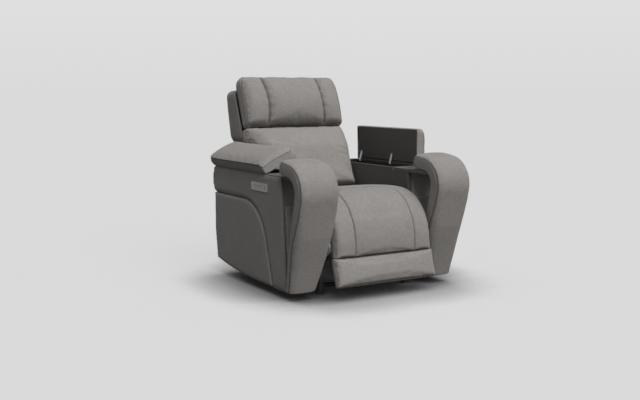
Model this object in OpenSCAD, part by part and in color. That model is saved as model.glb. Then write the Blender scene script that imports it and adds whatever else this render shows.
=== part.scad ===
// Power recliner chair: padded arm facings, lidded arm storage with cup holders,
// a reclining back, a tilting headrest and a powered footrest.
// Millimetres. +Z is up, the sitter faces -Y, the floor is z = 0 and x = 0 is the middle.
// "left" and "right" are the sitter's own: left is +X, right is -X.

/* [Arms] */
// Width over the outer arm panels
chair_w = 960; // [920:5:1040]
// Width of one arm
arm_w = 190; // [180:5:210]
// Height of the arm tops
arm_top = 597; // [580:1:620]
// Height of the arms' front bottom edge
arm_clear = 40; // [30:1:60]
// Front bottom corner of the outer arm panel, along Y
arm_front = -397; // [-410:1:-385]
// How far the front edge leans back from foot to top
arm_lean = 49; // [30:1:60]
// Rear edge of the lower outer panel, along Y
arm_rear = 410; // [395:1:430]
// How far the bottom edge rises towards the rear
arm_lift = 54; // [20:1:70]
// Thickness of the padded outer panels
skin_t = 14; // [10:1:18]
// Height of the upper outer band
band_h = 141; // [120:1:160]
// Width of the outer band's front leg at its foot
band_foot = 133; // [110:1:150]
// How far the band's rounded end stands out behind
band_bulge = 18; // [10:1:24]
// Radius of the curved seam between band and rear panel
seam_r = 255; // [200:5:280]
// Width of the groove along that seam
seam_gap = 5; // [3:1:8]
// Depth of the recess in the arm's front
front_recess = 22; // [18:1:28]
// Walls of the hollow arm bodies
arm_wall = 18; // [14:1:24]
// Thickness of the tray in front of the lid
tray_t = 20; // [16:1:24]

/* [Arm facing] */
// Thickness of the facing behind its widest line
facing_back = 22; // [16:1:28]
// Bulge of the facing in front of its widest line
facing_front = 52; // [40:1:60]
// How far the facing stands out past the arm panel
facing_proud = 22; // [12:1:26]
// Forward lean of the facing's leg, in degrees
facing_lean = 13.7; // [11:0.1:16]
// Length of the leg up to the bend
facing_leg = 476; // [465:1:485]
// Radius of the bend
facing_bend = 96; // [90:1:104]
// Rise of the tail over the horizontal, in degrees
facing_rise = 7.5; // [4:0.5:10]
// Length of the tail behind the bend
facing_tail = 96; // [80:1:104]
// How much the facing's inner side draws in at its foot
facing_taper = 47; // [30:1:70]
// How much the facing's outer side draws in at its foot
facing_tuck = 14; // [5:1:22]

/* [Lids and storage] */
// Front end of the lids, along Y
lid_front = -195; // [-205:1:-185]
// Rear end of the lid pads, along Y
lid_rear = 430; // [410:1:435]
// Rear end of the lid boards, along Y
board_rear = 378; // [360:1:390]
// Thickness of the lid boards
lid_board_t = 12; // [9:1:15]
// Thickness of the lid pads at their edge
lid_pad_t = 34; // [28:1:38]
// Crown of the lid pads
lid_crown = 6; // [3:1:9]
// Opening of the left lid as it stands, in degrees
left_lid_open = 90; // [60:1:90]
// Opening of the right lid as it stands, in degrees
right_lid_open = 25; // [10:1:40]
// Depth of the storage boxes
store_depth = 190; // [150:5:220]
// Wall of the storage liners
liner_t = 3; // [2:0.5:4]
// Places of the lid hinges, along Y
hinge_ys = [20, 325];
// Length of the lid stays
stay_len = 52; // [46:1:56]
// Inner radius of the cup holders
cup_r = 40; // [36:0.5:42]
// Depth of the cup holders
cup_depth = 80; // [60:1:90]
// Middle of the cup holders, along Y
cup_y = -270; // [-275:1:-262]

/* [Control panel] */
// Length of the control plate
panel_l = 176; // [160:1:190]
// Height of the control plate
panel_h = 41; // [36:1:44]
// Middle of the control plate, along Y
panel_y = -136; // [-150:1:-120]
// Middle of the control plate above the floor
panel_z = 528; // [522:1:534]
// Length of one button
button_l = 22; // [16:1:26]
// Height of one button
button_h = 12; // [9:1:15]
// Spacing of the buttons
button_pitch = 32; // [28:1:36]
// Travel of the buttons
button_travel = 1.5; // [1:0.1:2]

/* [Seat] */
// Gap between the seat and each arm
seat_gap = 5; // [3:1:8]
// Height of the seat springs' plane
spring_z = 410; // [405:1:414]
// Height of the seat at its side seams
seat_seam_z = 496; // [488:1:500]
// Fall of the seat's top towards the back
seat_fall = 50; // [20:1:54]
// Rear end of the seat cushion, along Y
seat_rear = 108; // [95:1:110]
// Where the seat's flat top turns into the waterfall front, along Y
nose_y = -288; // [-300:1:-276]
// Foremost line of the waterfall front, along Y
apron_y = -545; // [-552:1:-540]
// Height of the sewn line between leg pad and footrest panel
apron_z = 212; // [205:1:220]
// Distance of the sewn seams from the middle
seam_x = 177; // [165:1:190]
// Crown of the seat's centre panel
seat_crown = 22; // [16:1:28]

/* [Footrest] */
// Front bottom edge of the footrest panel, along Y
toe_y = -585; // [-592:1:-575]
// Height of the footrest panel's bottom edge
toe_z = 76; // [66:1:90]
// Depth of the pads in front of the footrest board
pad_depth = 35; // [30:1:38]
// Thickness of the footrest board
board_t = 12; // [10:1:14]
// Footrest turning axis, along Y
foot_axis_y = -483; // [-486:1:-481]
// Footrest turning axis, height
foot_axis_z = 448; // [446:1:451]
// Step from the drive tube to the footrest axis, along Y
link_y = -130; // [-134:1:-126]
// Step from the drive tube to the footrest axis, upwards
link_z = 107; // [104:1:112]
// Thickness of the steel links and plates
steel_t = 5; // [4:0.5:6]
// Width of the links
link_w = 18; // [16:1:22]
// Radius of the link pins
pin_r = 5; // [4:0.5:6]
// Length of the drive lugs
lug_r = 60; // [54:1:64]

/* [Back] */
// Lean of the back's dividing plane, in degrees
back_lean = 21.5; // [19:0.5:23]
// A point of that plane, along Y
back_y = 393; // [388:1:400]
// The same point's height
back_z = 729; // [722:1:734]
// Recline axis, along Y
recline_y = 235; // [230:1:240]
// Recline axis, height
recline_z = 300; // [295:1:305]
// Gap between the back and each arm
back_gap = 6; // [5:0.5:12]
// Half width of the back shell above the arms
shell_half = 312; // [300:1:316]
// Wall of the back shell
shell_t = 12; // [9:1:14]
// Rearmost line of the back shell, along Y
shell_rear = 603; // [595:1:610]
// Edge thickness of the back cushion
back_pad_t = 167; // [158:1:172]
// Thickness of the back cushion at its top edge
back_pad_top_t = 95; // [88:1:100]
// Crown of the back cushion
back_crown = 35; // [28:1:38]

/* [Headrest] */
// Half width of the headrest
head_half = 306; // [296:1:310]
// Height of the headrest along the back
head_h = 288; // [276:1:292]
// Edge thickness of the headrest
head_t = 62; // [54:1:66]
// Crown of the headrest
head_crown = 46; // [36:1:50]

/* [Base] */
// Gap between the mechanism's side plates and the arms
plate_gap = 23; // [20:1:26]
// Height of the floor glides
glide_h = 20; // [14:1:24]
// Radius of the floor glides
glide_r = 22; // [16:1:26]
// Section of the base rails
rail = 30; // [24:1:34]
// Front end of the base rails, along Y
base_front = -375; // [-380:1:-365]
// Rear end of the base rails, along Y
base_rear = 312; // [305:1:330]

/* [Hidden] */

cloth = [0.56, 0.545, 0.53];
cloth_dark = [0.45, 0.435, 0.42];
black = [0.1, 0.1, 0.11];
steel = [0.62, 0.63, 0.65];
wood = [0.72, 0.58, 0.4];
gap = 0.4;
outer_x = chair_w / 2;
inner_x = outer_x - arm_w;
frame_x = outer_x - skin_t;
mid_x = (outer_x + inner_x) / 2;
arm_bottom_gap = 6;

// Geometry helpers

function unit(v) = v / norm(v);
function ring_angle(v) = atan2(v[1], v[0]);
function near_turn(a) = a > 180 ? a - 360 : a < -180 ? a + 360 : a;

// Points of one corner q between p and s, rounded with radius r
function corner(p, q, s, r, n) =
    let (u = unit(p - q), v = unit(s - q), half = acos(u * v) / 2)
    r <= 0 || half > 89 ? [q] :
    let (c = q + unit(u + v) * r / sin(half),
         a0 = ring_angle(q + u * r / tan(half) - c),
         turn = near_turn(ring_angle(q + v * r / tan(half) - c) - a0))
    [for (i = [0:n]) c + r * [cos(a0 + turn * i / n), sin(a0 + turn * i / n)]];

// Outline through [a, b, radius] corners
function rounded(c, n = 6) =
    let (m = len(c), p = [for (k = c) [k[0], k[1]]])
    [for (i = [0:m - 1]) each corner(p[(i + m - 1) % m], p[i], p[(i + 1) % m], c[i][2], n)];

// 1 inside, falling along a quarter circle to 0 at an edge
function roll(d, r) = d >= r ? 1 : d <= 0 ? 0 : sqrt(1 - pow(1 - d / r, 2));

// A closed skin through rings with the same number of points
module skin(rings) {
    n = len(rings[0]);
    m = len(rings);
    middle = function (r) [for (k = [0:2]) (max([for (p = r) p[k]]) + min([for (p = r) p[k]])) / 2];
    points = concat([for (r = rings) each r], [middle(rings[0]), middle(rings[m - 1])]);
    walls = [for (i = [0:m - 2], j = [0:n - 1]) let (k = (j + 1) % n)
        each [[i * n + j, (i + 1) * n + k, i * n + k],
              [i * n + j, (i + 1) * n + j, (i + 1) * n + k]]];
    ends = [for (j = [0:n - 1]) let (k = (j + 1) % n)
        each [[k, m * n, j], [(m - 1) * n + j, m * n + 1, (m - 1) * n + k]]];
    polyhedron(points, concat(walls, ends));
}

// Cushion section: [across, height] points around a pad of half width a whose
// face has a crown, rolled edges and, at +-groove_x, sewn grooves
function pad_section(a, t, crown, edge, bulge, groove_x = 0, groove = 0) =
    let (w = 7,
         half = groove_x > 0 ?
             [0, 0.3 * a, 0.5 * a, groove_x - w, groove_x, groove_x + w, 0.8 * a, a - edge * 0.6, a - edge * 0.15] :
             [0, 0.3 * a, 0.55 * a, 0.75 * a, a - edge, a - edge * 0.6, a - edge * 0.15],
         face = function (x) t + crown * (1 - pow(abs(x) / a, 2.4))
             - groove * exp(-pow((abs(x) - groove_x) / w, 2)) - edge * (1 - roll(a - abs(x), edge)),
         n = len(half))
    concat([for (i = [n - 1:-1:1]) [-half[i], face(half[i])]],
           [for (x = half) [x, face(x)]],
           [for (k = [0.75, 0.5, 0.25]) [a + bulge * sin(180 * k), k * max(t - edge, 1)]],
           [[a, 0], [0, 0], [-a, 0]],
           [for (k = [0.25, 0.5, 0.75]) [-a - bulge * sin(180 * k), k * max(t - edge, 1)]]);

// A section laid between a foot point q and an edge point p of the side view
function lay(section, q, p) =
    let (d = unit(p - q)) [for (s = section) [s[0], q[0] + d[0] * s[1], q[1] + d[1] * s[1]]];

module slab(x0, x1) translate([x0, 0, 0]) rotate([90, 0, 90]) linear_extrude(x1 - x0) children();
module rod(x0, x1, y, z, r) translate([x0, y, z]) rotate([0, 90, 0]) cylinder(h = x1 - x0, r = r, $fn = 40);
module sided(side) if (side > 0) children(); else mirror([1, 0, 0]) children();
module both() { children(); mirror([1, 0, 0]) children(); }
module block(x, y, z) translate([x[0], y[0], z[0]]) cube([x[1] - x[0], y[1] - y[0], z[1] - z[0]]);

// Arm outlines in the side view

function front_at(z) = arm_front + (z - arm_clear) * arm_lean / (arm_top - arm_clear);
lift_start = arm_front + 97;
function bottom_at(y) = arm_clear + arm_lift * pow(max(0, y - lift_start) / (arm_rear - lift_start), 2.8);
band_z = arm_top - band_h;
foot_y = arm_front + band_foot;
seam_top_y = foot_y + (band_z - arm_clear) * 0.3;
rear_toe = arm_rear - 24;
lower_ys = [for (i = [12:-1:0]) foot_y + seam_gap + (rear_toe - foot_y - seam_gap) * i / 12];

module band_outline() polygon(rounded([
    [front_at(arm_clear), arm_clear, 8], [front_at(arm_top), arm_top, 14],
    [arm_rear + band_bulge, arm_top, 40], [arm_rear + band_bulge, band_z, 34],
    [seam_top_y, band_z, seam_r], [foot_y, arm_clear, 0]]));

module rear_outline() polygon(concat(rounded([
    [foot_y + seam_gap, bottom_at(foot_y), 0], [seam_top_y + seam_gap, band_z - seam_gap, seam_r - seam_gap],
    [arm_rear, band_z - seam_gap, 14], [arm_rear, arm_clear + 210, 120], [rear_toe, bottom_at(rear_toe), 0]]),
    [for (i = [1:11]) [lower_ys[i], bottom_at(lower_ys[i])]]));

frame_rear = arm_rear - 4;
seat_of_tray = arm_top - tray_t;
tray_end = lid_front - 4;

module frame_outline() polygon([
    [front_at(arm_clear + arm_bottom_gap) + front_recess, arm_clear + arm_bottom_gap],
    [front_at(seat_of_tray) + front_recess, seat_of_tray], [tray_end, seat_of_tray],
    [tray_end, arm_top], [frame_rear + band_bulge, arm_top], [frame_rear + band_bulge, band_z],
    [frame_rear, band_z - seam_gap], [frame_rear, arm_clear + 210],
    [rear_toe - 4, bottom_at(rear_toe) + arm_bottom_gap],
    each [for (i = [1:12]) [lower_ys[i] - 4, bottom_at(lower_ys[i]) + arm_bottom_gap]]]);

// Storage box in the arm, seen from above
rim_w = 14;
store_x = [inner_x + rim_w + 2, frame_x - rim_w];
store_y = [lid_front + 15, arm_rear - 25];
store_z = arm_top - store_depth;
hinge_x = frame_x + 6;
hinge_z = arm_top + 18;
ear_t = 3;
lid_under = arm_top + 0.5;
lid_top = lid_under + lid_board_t;

module arm_frame(side) color(cloth_dark) sided(side) difference() {
    slab(inner_x, frame_x) frame_outline();
    block(store_x, store_y, [store_z, arm_top + 1]);
    block([inner_x + arm_wall, frame_x - arm_wall],
        [front_at(store_z) + front_recess + arm_wall, rear_toe - 4 - arm_wall], [0, store_z - arm_wall]);
    translate([mid_x, cup_y, seat_of_tray - cup_depth]) cylinder(h = cup_depth + 1, r = cup_r + 8, $fn = 48);
    for (y = hinge_ys)
        block([store_x[1] + 1, frame_x - 1], [y - ear_t / 2 - 0.2, y + ear_t / 2 + 0.2],
            [arm_top - 40, arm_top + 1]);
    for (b = bolt_places) rod(inner_x - 1, inner_x + bolt_depth + 0.2, b[0], b[1], bolt_r + 0.1);
}

tub = [button_pitch * 3 + button_l + 12, panel_h - 14, skin_t - 4];

module arm_band(side) color(cloth_dark) sided(side) difference() {
    slab(frame_x, outer_x) band_outline();
    if (side < 0) translate([outer_x - tub[2] - gap, panel_y - tub[0] / 2 - gap, panel_z - tub[1] / 2 - gap])
        cube([tub[2] + 1, tub[0] + 2 * gap, tub[1] + 2 * gap]);
}

module arm_rear_panel(side) color(cloth_dark) sided(side) slab(frame_x, outer_x) rear_outline();

pad_low = arm_clear + 26;
pad_high = band_z - 6;

module arm_front_pad(side) color(cloth_dark) sided(side) slab(inner_x + 6, frame_x - 8) polygon(rounded([
    [front_at(pad_low) + 3, pad_low, 6], [front_at(pad_high) + 3, pad_high, 8],
    [front_at(pad_high) + front_recess, pad_high, 0], [front_at(pad_low) + front_recess, pad_low, 0]]));

// Facing: a cane-shaped pad whose leg leans forward and whose head bends back over the arm

foot = [arm_front - 29, arm_clear];
leg_heading = 90 + facing_lean;
bend_len = (leg_heading - facing_rise) * PI / 180 * facing_bend;
facing_len = facing_leg + bend_len + facing_tail;
function along(h) = [cos(h), sin(h)];
leg_end = foot + facing_leg * along(leg_heading);
bend_middle = leg_end + facing_bend * along(leg_heading - 90);
function heading(s) = s < facing_leg ? leg_heading :
    s < facing_leg + bend_len ? leg_heading - (s - facing_leg) / facing_bend * 180 / PI : facing_rise;
function facing_at(s) = s < facing_leg ? foot + s * along(leg_heading) :
    s < facing_leg + bend_len ? bend_middle + facing_bend * along(heading(s) + 90) :
    bend_middle + facing_bend * along(facing_rise + 90) + (s - facing_leg - bend_len) * along(facing_rise);
facing_half = (arm_w + facing_proud - 6) / 2;
facing_x = inner_x + 4 + facing_half;
facing_outer = facing_x + facing_half;

// Both sides of the leg draw in towards the foot
function narrowing(s) = pow(max(0, 1 - s / 300), 1.5);

function facing_ring(s) =
    let (n = 30, tip = roll(facing_len - s, 26), h = s < 20 ? 90 + facing_lean * s / 20 : heading(s),
         c = facing_at(s), inward = along(h - 90), a = facing_half - (facing_taper + facing_tuck) / 2 * narrowing(s),
         x0 = facing_x + (facing_taper - facing_tuck) / 2 * narrowing(s), grow = 1 - 0.35 * max(0, 1 - s / 300))
    [for (i = [0:n - 1]) let (t = -360 * i / n, e = sin(t) > 0 ? 6 : 2.9,
        u = a * (0.94 + 0.06 * tip) * sign(cos(t)) * pow(abs(cos(t)), 2 / e),
        b = sin(t) > 0 ? facing_back * tip : facing_front * (0.25 + 0.75 * tip) * grow,
        v = b * sign(sin(t)) * pow(abs(sin(t)), 2 / e))
        [x0 + u, c[0] + inward[0] * v, c[1] + inward[1] * v]];

facing_steps = concat([for (i = [0:7]) facing_leg * i / 8],
    [for (i = [0:9]) facing_leg + bend_len * i / 10],
    [for (d = [0, 0.3, 0.55, 0.75, 0.87, 0.94, 0.985, 1]) facing_leg + bend_len + facing_tail * d]);

module arm_facing(side) color(cloth) sided(side)
    difference() {
        skin([for (i = [len(facing_steps) - 1:-1:0]) facing_ring(min(facing_steps[i], facing_len - 0.4))]);
        block([0, 2 * outer_x], [4 * arm_front, arm_rear], [-arm_clear, arm_clear]);
    }

// The inside of the facing's bend, where the tray meets it at height z
bend_inside = facing_bend - facing_back - gap;
function tray_front(z) = bend_middle[0] - sqrt(max(0, pow(bend_inside, 2) - pow(z - bend_middle[1], 2)));

module arm_tray(side) color(cloth_dark) sided(side) difference() {
    slab(inner_x + 6, frame_x - gap) polygon([
        for (i = [0:4]) [tray_front(seat_of_tray + tray_t * i / 4), seat_of_tray + tray_t * i / 4],
        [tray_end - gap, arm_top], [tray_end - gap, seat_of_tray]]);
    translate([mid_x, cup_y, seat_of_tray - 1]) cylinder(h = tray_t + 2, r = cup_r + 2.2, $fn = 64);
}

module cup_holder(side) color(steel) sided(side) translate([mid_x, cup_y, 0]) rotate_extrude($fn = 64) polygon([
    [0, arm_top + 1 - cup_depth], [cup_r, arm_top + 1 - cup_depth], [cup_r, arm_top + 2.5], [cup_r + 6, arm_top + 2.5],
    [cup_r + 6, arm_top], [cup_r + 2, arm_top], [cup_r + 2, arm_top - 1 - cup_depth], [0, arm_top - 1 - cup_depth]]);

module storage_liner(side) color(black) sided(side) difference() {
    block(store_x, store_y, [store_z, arm_top - 1]);
    block([store_x[0] + liner_t, store_x[1] - liner_t], [store_y[0] + liner_t, store_y[1] - liner_t],
        [store_z + liner_t, arm_top]);
}

// Lids, drawn closed and turned about their hinge pins

function lid_angle(side) = side > 0 ? left_lid_open : right_lid_open;
module turned_lid(side) sided(side) translate([hinge_x, 0, hinge_z]) rotate([0, lid_angle(side), 0])
    translate([-hinge_x, 0, -hinge_z]) children();
pivot_r = 3;
stay_pin = [hinge_x - 31, arm_top - 7];
stay_shift = 12;

module lid_hinges(side) color(black) sided(side) for (y = hinge_ys) {
    translate([0, y + ear_t / 2, 0]) rotate([90, 0, 0]) linear_extrude(ear_t) union() {
        polygon([[store_x[1] + 1.5, arm_top - 39], [frame_x - 1.5, arm_top - 39], [frame_x - 1.5, arm_top + 4],
            [hinge_x + 5, hinge_z], [hinge_x - 5, hinge_z + 2], [store_x[1] + 1.5, arm_top + 2]]);
        translate([hinge_x, hinge_z]) circle(r = 6, $fn = 32);
    }
    translate([hinge_x, y + 8, hinge_z]) rotate([90, 0, 0]) cylinder(h = 16, r = pivot_r, $fn = 32);
}

module lid_board(side) color(black) turned_lid(side) {
    difference() {
        block([inner_x + 5, hinge_x + 2], [lid_front + 5, board_rear], [lid_under, lid_top]);
        for (y = hinge_ys) block([store_x[1] - 2, outer_x], [y - 3, y + 3], [arm_top, lid_top + 1]);
    }
    for (y = hinge_ys) {
        for (d = [-7, 4]) difference() {
            block([hinge_x - 7, hinge_x + 5], [y + d, y + d + 3], [lid_top, hinge_z + 6]);
            translate([hinge_x, y + d + 4, hinge_z]) rotate([90, 0, 0]) cylinder(h = 5, r = pivot_r + 0.05, $fn = 32);
        }
        block([stay_pin[0] - 5, stay_pin[0] + 5], [y + stay_shift + 2, y + stay_shift + 5], [stay_pin[1] - 5, lid_under]);
        translate([stay_pin[0], y + stay_shift + 2.5, stay_pin[1]]) rotate([90, 0, 0]) cylinder(h = 5, r = 2, $fn = 24);
    }
}

stay_closed = -145;
stay_turn = 131 / 90;

module lid_stays(side) color(steel) turned_lid(side) for (y = hinge_ys)
    translate([stay_pin[0], y + stay_shift, stay_pin[1]]) rotate([0, -(stay_closed + stay_turn * lid_angle(side)), 0])
        rotate([90, 0, 0]) linear_extrude(3, center = true) difference() {
            union() {
                circle(r = 4.5, $fn = 32);
                translate([stay_len, 0]) circle(r = 4.5, $fn = 32);
                translate([0, -4.5]) square([stay_len, 9]);
            }
            circle(r = 2.05, $fn = 24);
        }

lid_half = (hinge_x + 10 - inner_x - 1) / 2;
lid_mid = inner_x + 1 + lid_half;
lid_len = lid_rear - lid_front;
// The pad's rear end is rounded up from below
function lid_boat(d) = max(0, 20 - 0.62 * d);

module lid_pad(side) color(cloth) turned_lid(side) difference() {
    skin([for (d = [0, 4, 10, 20, 45, 110, 200, lid_len / 2, lid_len - 200, lid_len - 110, lid_len - 45,
                    lid_len - 20, lid_len - 10, lid_len - 4, lid_len])
        let (e = min(d, lid_len - d), r = roll(e + 2, 24),
             sec = pad_section(lid_half * (0.97 + 0.03 * r), lid_pad_t * (0.55 + 0.45 * r), lid_crown * r, 10 * r + 2, 3))
        [for (p = sec) [lid_mid + p[0], lid_front + d, lid_top + p[1] + lid_boat(lid_len - d) * max(0, 1 - p[1] / 27)]]]);
    for (y = hinge_ys) {
        block([hinge_x - 8, hinge_x + 7], [y - 8, y + 8], [lid_top - 1, hinge_z + 7]);
        block([hinge_x - 14, outer_x + 20], [y - 3, y + 3], [lid_top - 1, hinge_z + 7]);
    }
}

// Control panel on the outer side of the right arm

module plate_outline() polygon(rounded([[-panel_l / 2, -panel_h / 2, 4], [panel_l / 2, -panel_h / 2, 4],
    [panel_l / 2, panel_h / 2, 4], [-panel_l / 2, panel_h / 2, 4]]));
function button_place(i) = panel_y + (i - 1.5) * button_pitch;

module control_plate() color(steel) mirror([1, 0, 0]) difference() {
    union() {
        translate([0, panel_y, panel_z]) slab(outer_x, outer_x + 3) plate_outline();
        block([outer_x - tub[2], outer_x + 1], [panel_y - tub[0] / 2, panel_y + tub[0] / 2],
            [panel_z - tub[1] / 2, panel_z + tub[1] / 2]);
    }
    for (i = [0:3]) block([outer_x - tub[2] + 1.5, outer_x + 4],
        [button_place(i) - button_l / 2 - gap, button_place(i) + button_l / 2 + gap],
        [panel_z - button_h / 2 - gap, panel_z + button_h / 2 + gap]);
}

module button(i) color(black) mirror([1, 0, 0]) block([outer_x - tub[2] + 1.5 + button_travel + 0.3, outer_x + 4.6],
    [button_place(i) - button_l / 2, button_place(i) + button_l / 2], [panel_z - button_h / 2, panel_z + button_h / 2]);

// Base, side plates and seat box

plate_x = [inner_x - plate_gap - steel_t, inner_x - plate_gap];
rail_x = [plate_x[0] - rail / 2, plate_x[0] + rail / 2];
base_top = glide_h + rail;
drive = [foot_axis_y - link_y, foot_axis_z - link_z];
idler = [drive[0] - link_y / 2, drive[1] - link_z / 2];
recline = [recline_y, recline_z];
box_bottom = spring_z - 52;
box_front = nose_y - 140;
bolt_r = 5;
bolt_depth = 10;
bolt_places = [[-300, 140], [-60, 300], [-60, 110], [160, 120]];
tube_y = [base_front + 45, base_rear - 32];

module base_frame() color(black) {
    both() block(rail_x, [base_front, base_rear], [glide_h, base_top]);
    for (y = tube_y) rod(-rail_x[0] - 1, rail_x[0] + 1, y, glide_h + rail / 2, 11);
}

glide_ys = [base_front + glide_r + 2, base_rear - glide_r - 2];
module floor_glides() color(black) for (x = [-1, 1], y = glide_ys)
    translate([x * (rail_x[0] + rail / 2), y, 0]) cylinder(h = glide_h, r = glide_r, $fn = 40);

mount_tube = [-10, 225];
tube_r = 10;
module motor_tube() color(black) {
    rod(-plate_x[0] + gap, plate_x[0] - gap, mount_tube[0], mount_tube[1], tube_r);
    both() rod(plate_x[0] - 1, plate_x[1] + 3, mount_tube[0], mount_tube[1], pin_r);
}

module side_plate(side) color(steel) sided(side) difference() {
    slab(plate_x[0], plate_x[1]) polygon(rounded([
        [base_front + 20, base_top, 6], [drive[0] - 32, drive[1] + 10, 24], [drive[0] + 10, box_bottom + 36, 10],
        [recline[0] - 190, box_bottom + 36, 20], [recline[0] - 60, recline[1] + 22, 20],
        [recline[0] + 24, recline[1] + 24, 22], [recline[0] + 26, recline[1] - 40, 24], [base_rear - 14, base_top, 6]]));
    for (p = [drive, idler, recline, mount_tube]) rod(plate_x[0] - 1, plate_x[1] + 1, p[0], p[1], pin_r + 0.05);
    for (b = bolt_places) rod(plate_x[0] - 1, plate_x[1] + 1, b[0], b[1], bolt_r + 0.1);
}

module arm_bolts() color(steel) both() for (b = bolt_places) {
    rod(plate_x[0] - 4, plate_x[0], b[0], b[1], bolt_r + 4);
    rod(plate_x[0] - 0.1, inner_x + bolt_depth, b[0], b[1], bolt_r);
    rod(plate_x[1], inner_x, b[0], b[1], bolt_r + 5);
}

board_x = 20;
module seat_box() color(wood) difference() {
    union() {
        both() block([plate_x[0] - board_x, plate_x[0]], [box_front, seat_rear], [box_bottom, spring_z - 4]);
        block([-plate_x[0], plate_x[0]], [box_front, box_front + board_x], [box_bottom, spring_z]);
        block([-plate_x[0], plate_x[0]], [seat_rear - board_x, seat_rear], [box_bottom, spring_z]);
    }
    both() for (p = [drive, idler]) rod(0, plate_x[1], p[0], p[1], 20);
}

wire = 4;
wave_n = 11;
// A zigzag wire drawn as a flat band of the wire's width
module wave_spring(len, amp) {
    n = wave_n * 6;
    mid = [for (i = [0:n]) [amp * sin(360 * wave_n * i / n), len * i / n]];
    normal = [for (i = [0:n]) let (d = i == 0 || i == n ? [0, 1] : mid[i + 1] - mid[i - 1]) unit([-d[1], d[0]])];
    linear_extrude(wire) polygon(concat([for (i = [0:n]) mid[i] + normal[i] * wire / 2],
        [for (i = [n:-1:0]) mid[i] - normal[i] * wire / 2]));
}

spring_rows = 5;
spring_pitch = 2 * (plate_x[0] - board_x - 58) / (spring_rows - 1);
module seat_springs() color(steel) for (i = [0:spring_rows - 1])
    translate([(i - (spring_rows - 1) / 2) * spring_pitch, box_front + wire, spring_z])
        wave_spring(seat_rear - box_front - 2 * wire, 22);

// Seat and footrest pads share one waterfall profile in the side view

cushion_z = spring_z + wire + gap;
cushion_half = inner_x - seat_gap - 2;
nose_power = 2.27;
function nose_at(a) = [nose_y + (apron_y - nose_y) * pow(sin(a), 2 / nose_power),
    apron_z + (seat_seam_z - apron_z) * pow(cos(a), 2 / nose_power)];
split_a = 45;
split = nose_at(split_a);
foot_axis = [foot_axis_y, foot_axis_z];
split_dir = [0.72, -0.694];
function on_split(d) = foot_axis + d * split_dir;

function seat_section(a, t, k) = pad_section(a, t, seat_crown * k, 14, 3, seam_x, 9 * k);

seat_ys = [seat_rear - 2, seat_rear - 6, seat_rear - 20, seat_rear - 60, -60, -180];
function rearward(y) = max(0, (y - nose_y) / (seat_rear - nose_y));
seat_feet = concat([for (y = seat_ys) [y, cushion_z]],
    [for (i = [0:5]) [nose_y - 6 - (160 - 4) * i / 5 , cushion_z]]);
seat_edges = concat([for (y = seat_ys)
        [y, seat_seam_z - seat_fall * pow(rearward(y), 1.5) - 12 * (1 - roll(seat_rear - y, 22))]],
    [for (i = [0:5]) nose_at(6 + (split_a - 8) * i / 5)]);

module seat_cushion() color(cloth) difference() {
    skin([for (i = [len(seat_feet) - 1:-1:0])
        let (q = seat_feet[i], p = seat_edges[i])
        lay(seat_section(cushion_half, norm(p - q), 1 - 0.65 * rearward(p[0])), q, p)]);
    split_wedge(gap);
}

// Everything in front of the split plane, which runs through the footrest axis
module split_wedge(shift) {
    a = on_split(-80) + [-0.694, -0.72] * shift * -1;
    b = on_split(160) + [-0.694, -0.72] * shift * -1;
    slab(-outer_x, outer_x) polygon([a, b, b + [-300, -100], a + [-300, 100]]);
}

// Footrest: chord from the split to the toe
toe = [toe_y, toe_z];
chord = unit(toe - split);
chord_front = [chord[1], -chord[0]];
function on_board(along_d, front_d) = split + along_d * chord + front_d * chord_front;
chord_len = norm(toe - split);
function chord_pos(p) = (p - split) * chord;

leg_angles = [for (i = [0:7]) split_a + 4 + (86 - split_a) * i / 7];
module leg_pad() color(cloth) difference() {
    skin([for (i = [7:-1:-1])
        let (p = i < 0 ? nose_at(split_a - 3) : nose_at(leg_angles[i]),
             q = i < 0 ? on_board(-18, -18) : on_board(max(chord_pos(p), 8 + 20 * i), i == 0 ? -26 : -pad_depth))
        lay(seat_section(cushion_half, norm(p - q), 1 - 0.09 * max(i, 0)), q, p)]);
    split_back(gap);
}

// Everything behind the split plane
module split_back(shift) {
    a = on_split(-80) + [-0.694, -0.72] * shift;
    b = on_split(200) + [-0.694, -0.72] * shift;
    slab(-outer_x, outer_x) polygon([a, a + [300, 300], b + [300, 100], b]);
}

apron = [apron_y, apron_z];
panel_start = chord_pos(apron) + 3;
panel_len = chord_len - panel_start;
panel_steps = [1, 0.98, 0.935, 0.84, 0.66, 0.44, 0.22, 0.073, 0.022, 0];
module footrest_pad() color(cloth) skin([for (f = panel_steps)
    let (d = f * panel_len, r = roll(min(d, panel_len - d) + 1, 16), s = panel_start + d,
         p = split + s * chord + chord_front * (6 - 3 * f), q = on_board(s, -pad_depth),
         half = (cushion_half + 3) * (0.985 + 0.015 * r))
    lay(pad_section(half, norm(p - q) * (0.62 + 0.38 * r), 10 * r, 10 * r + 2, 2), q, p)]);

board_from = 84;
module footrest_board() color(black) slab(-cushion_half + 14, cushion_half - 14) polygon([
    on_board(board_from, -pad_depth - gap), on_board(chord_len - 6, -pad_depth - gap),
    on_board(chord_len - 6, -pad_depth - board_t), on_board(board_from, -pad_depth - board_t)]);

// Footrest linkage: every arm repeats the vectors from the footrest axis to its two pins
high_pin = on_board(board_from + 4, -pad_depth - board_t - 13);
low_pin = on_board(board_from + 90, -pad_depth - board_t - 13);
high_arm = high_pin - foot_axis;
low_arm = low_pin - foot_axis;
arm_x = [plate_x[0] - 5 - steel_t, plate_x[0] - 5];
link_x = [arm_x[0] - 1 - steel_t, arm_x[0] - 1];

// Steel plate through round ends at the given points
module strap(points, w) {
    for (p = points) translate(p) circle(r = w / 2, $fn = 32);
    for (i = [0:len(points) - 2]) let (u = unit(points[i + 1] - points[i]), v = [-u[1], u[0]] * w / 2)
        polygon([points[i] + v, points[i + 1] + v, points[i + 1] - v, points[i] - v]);
}

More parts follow.
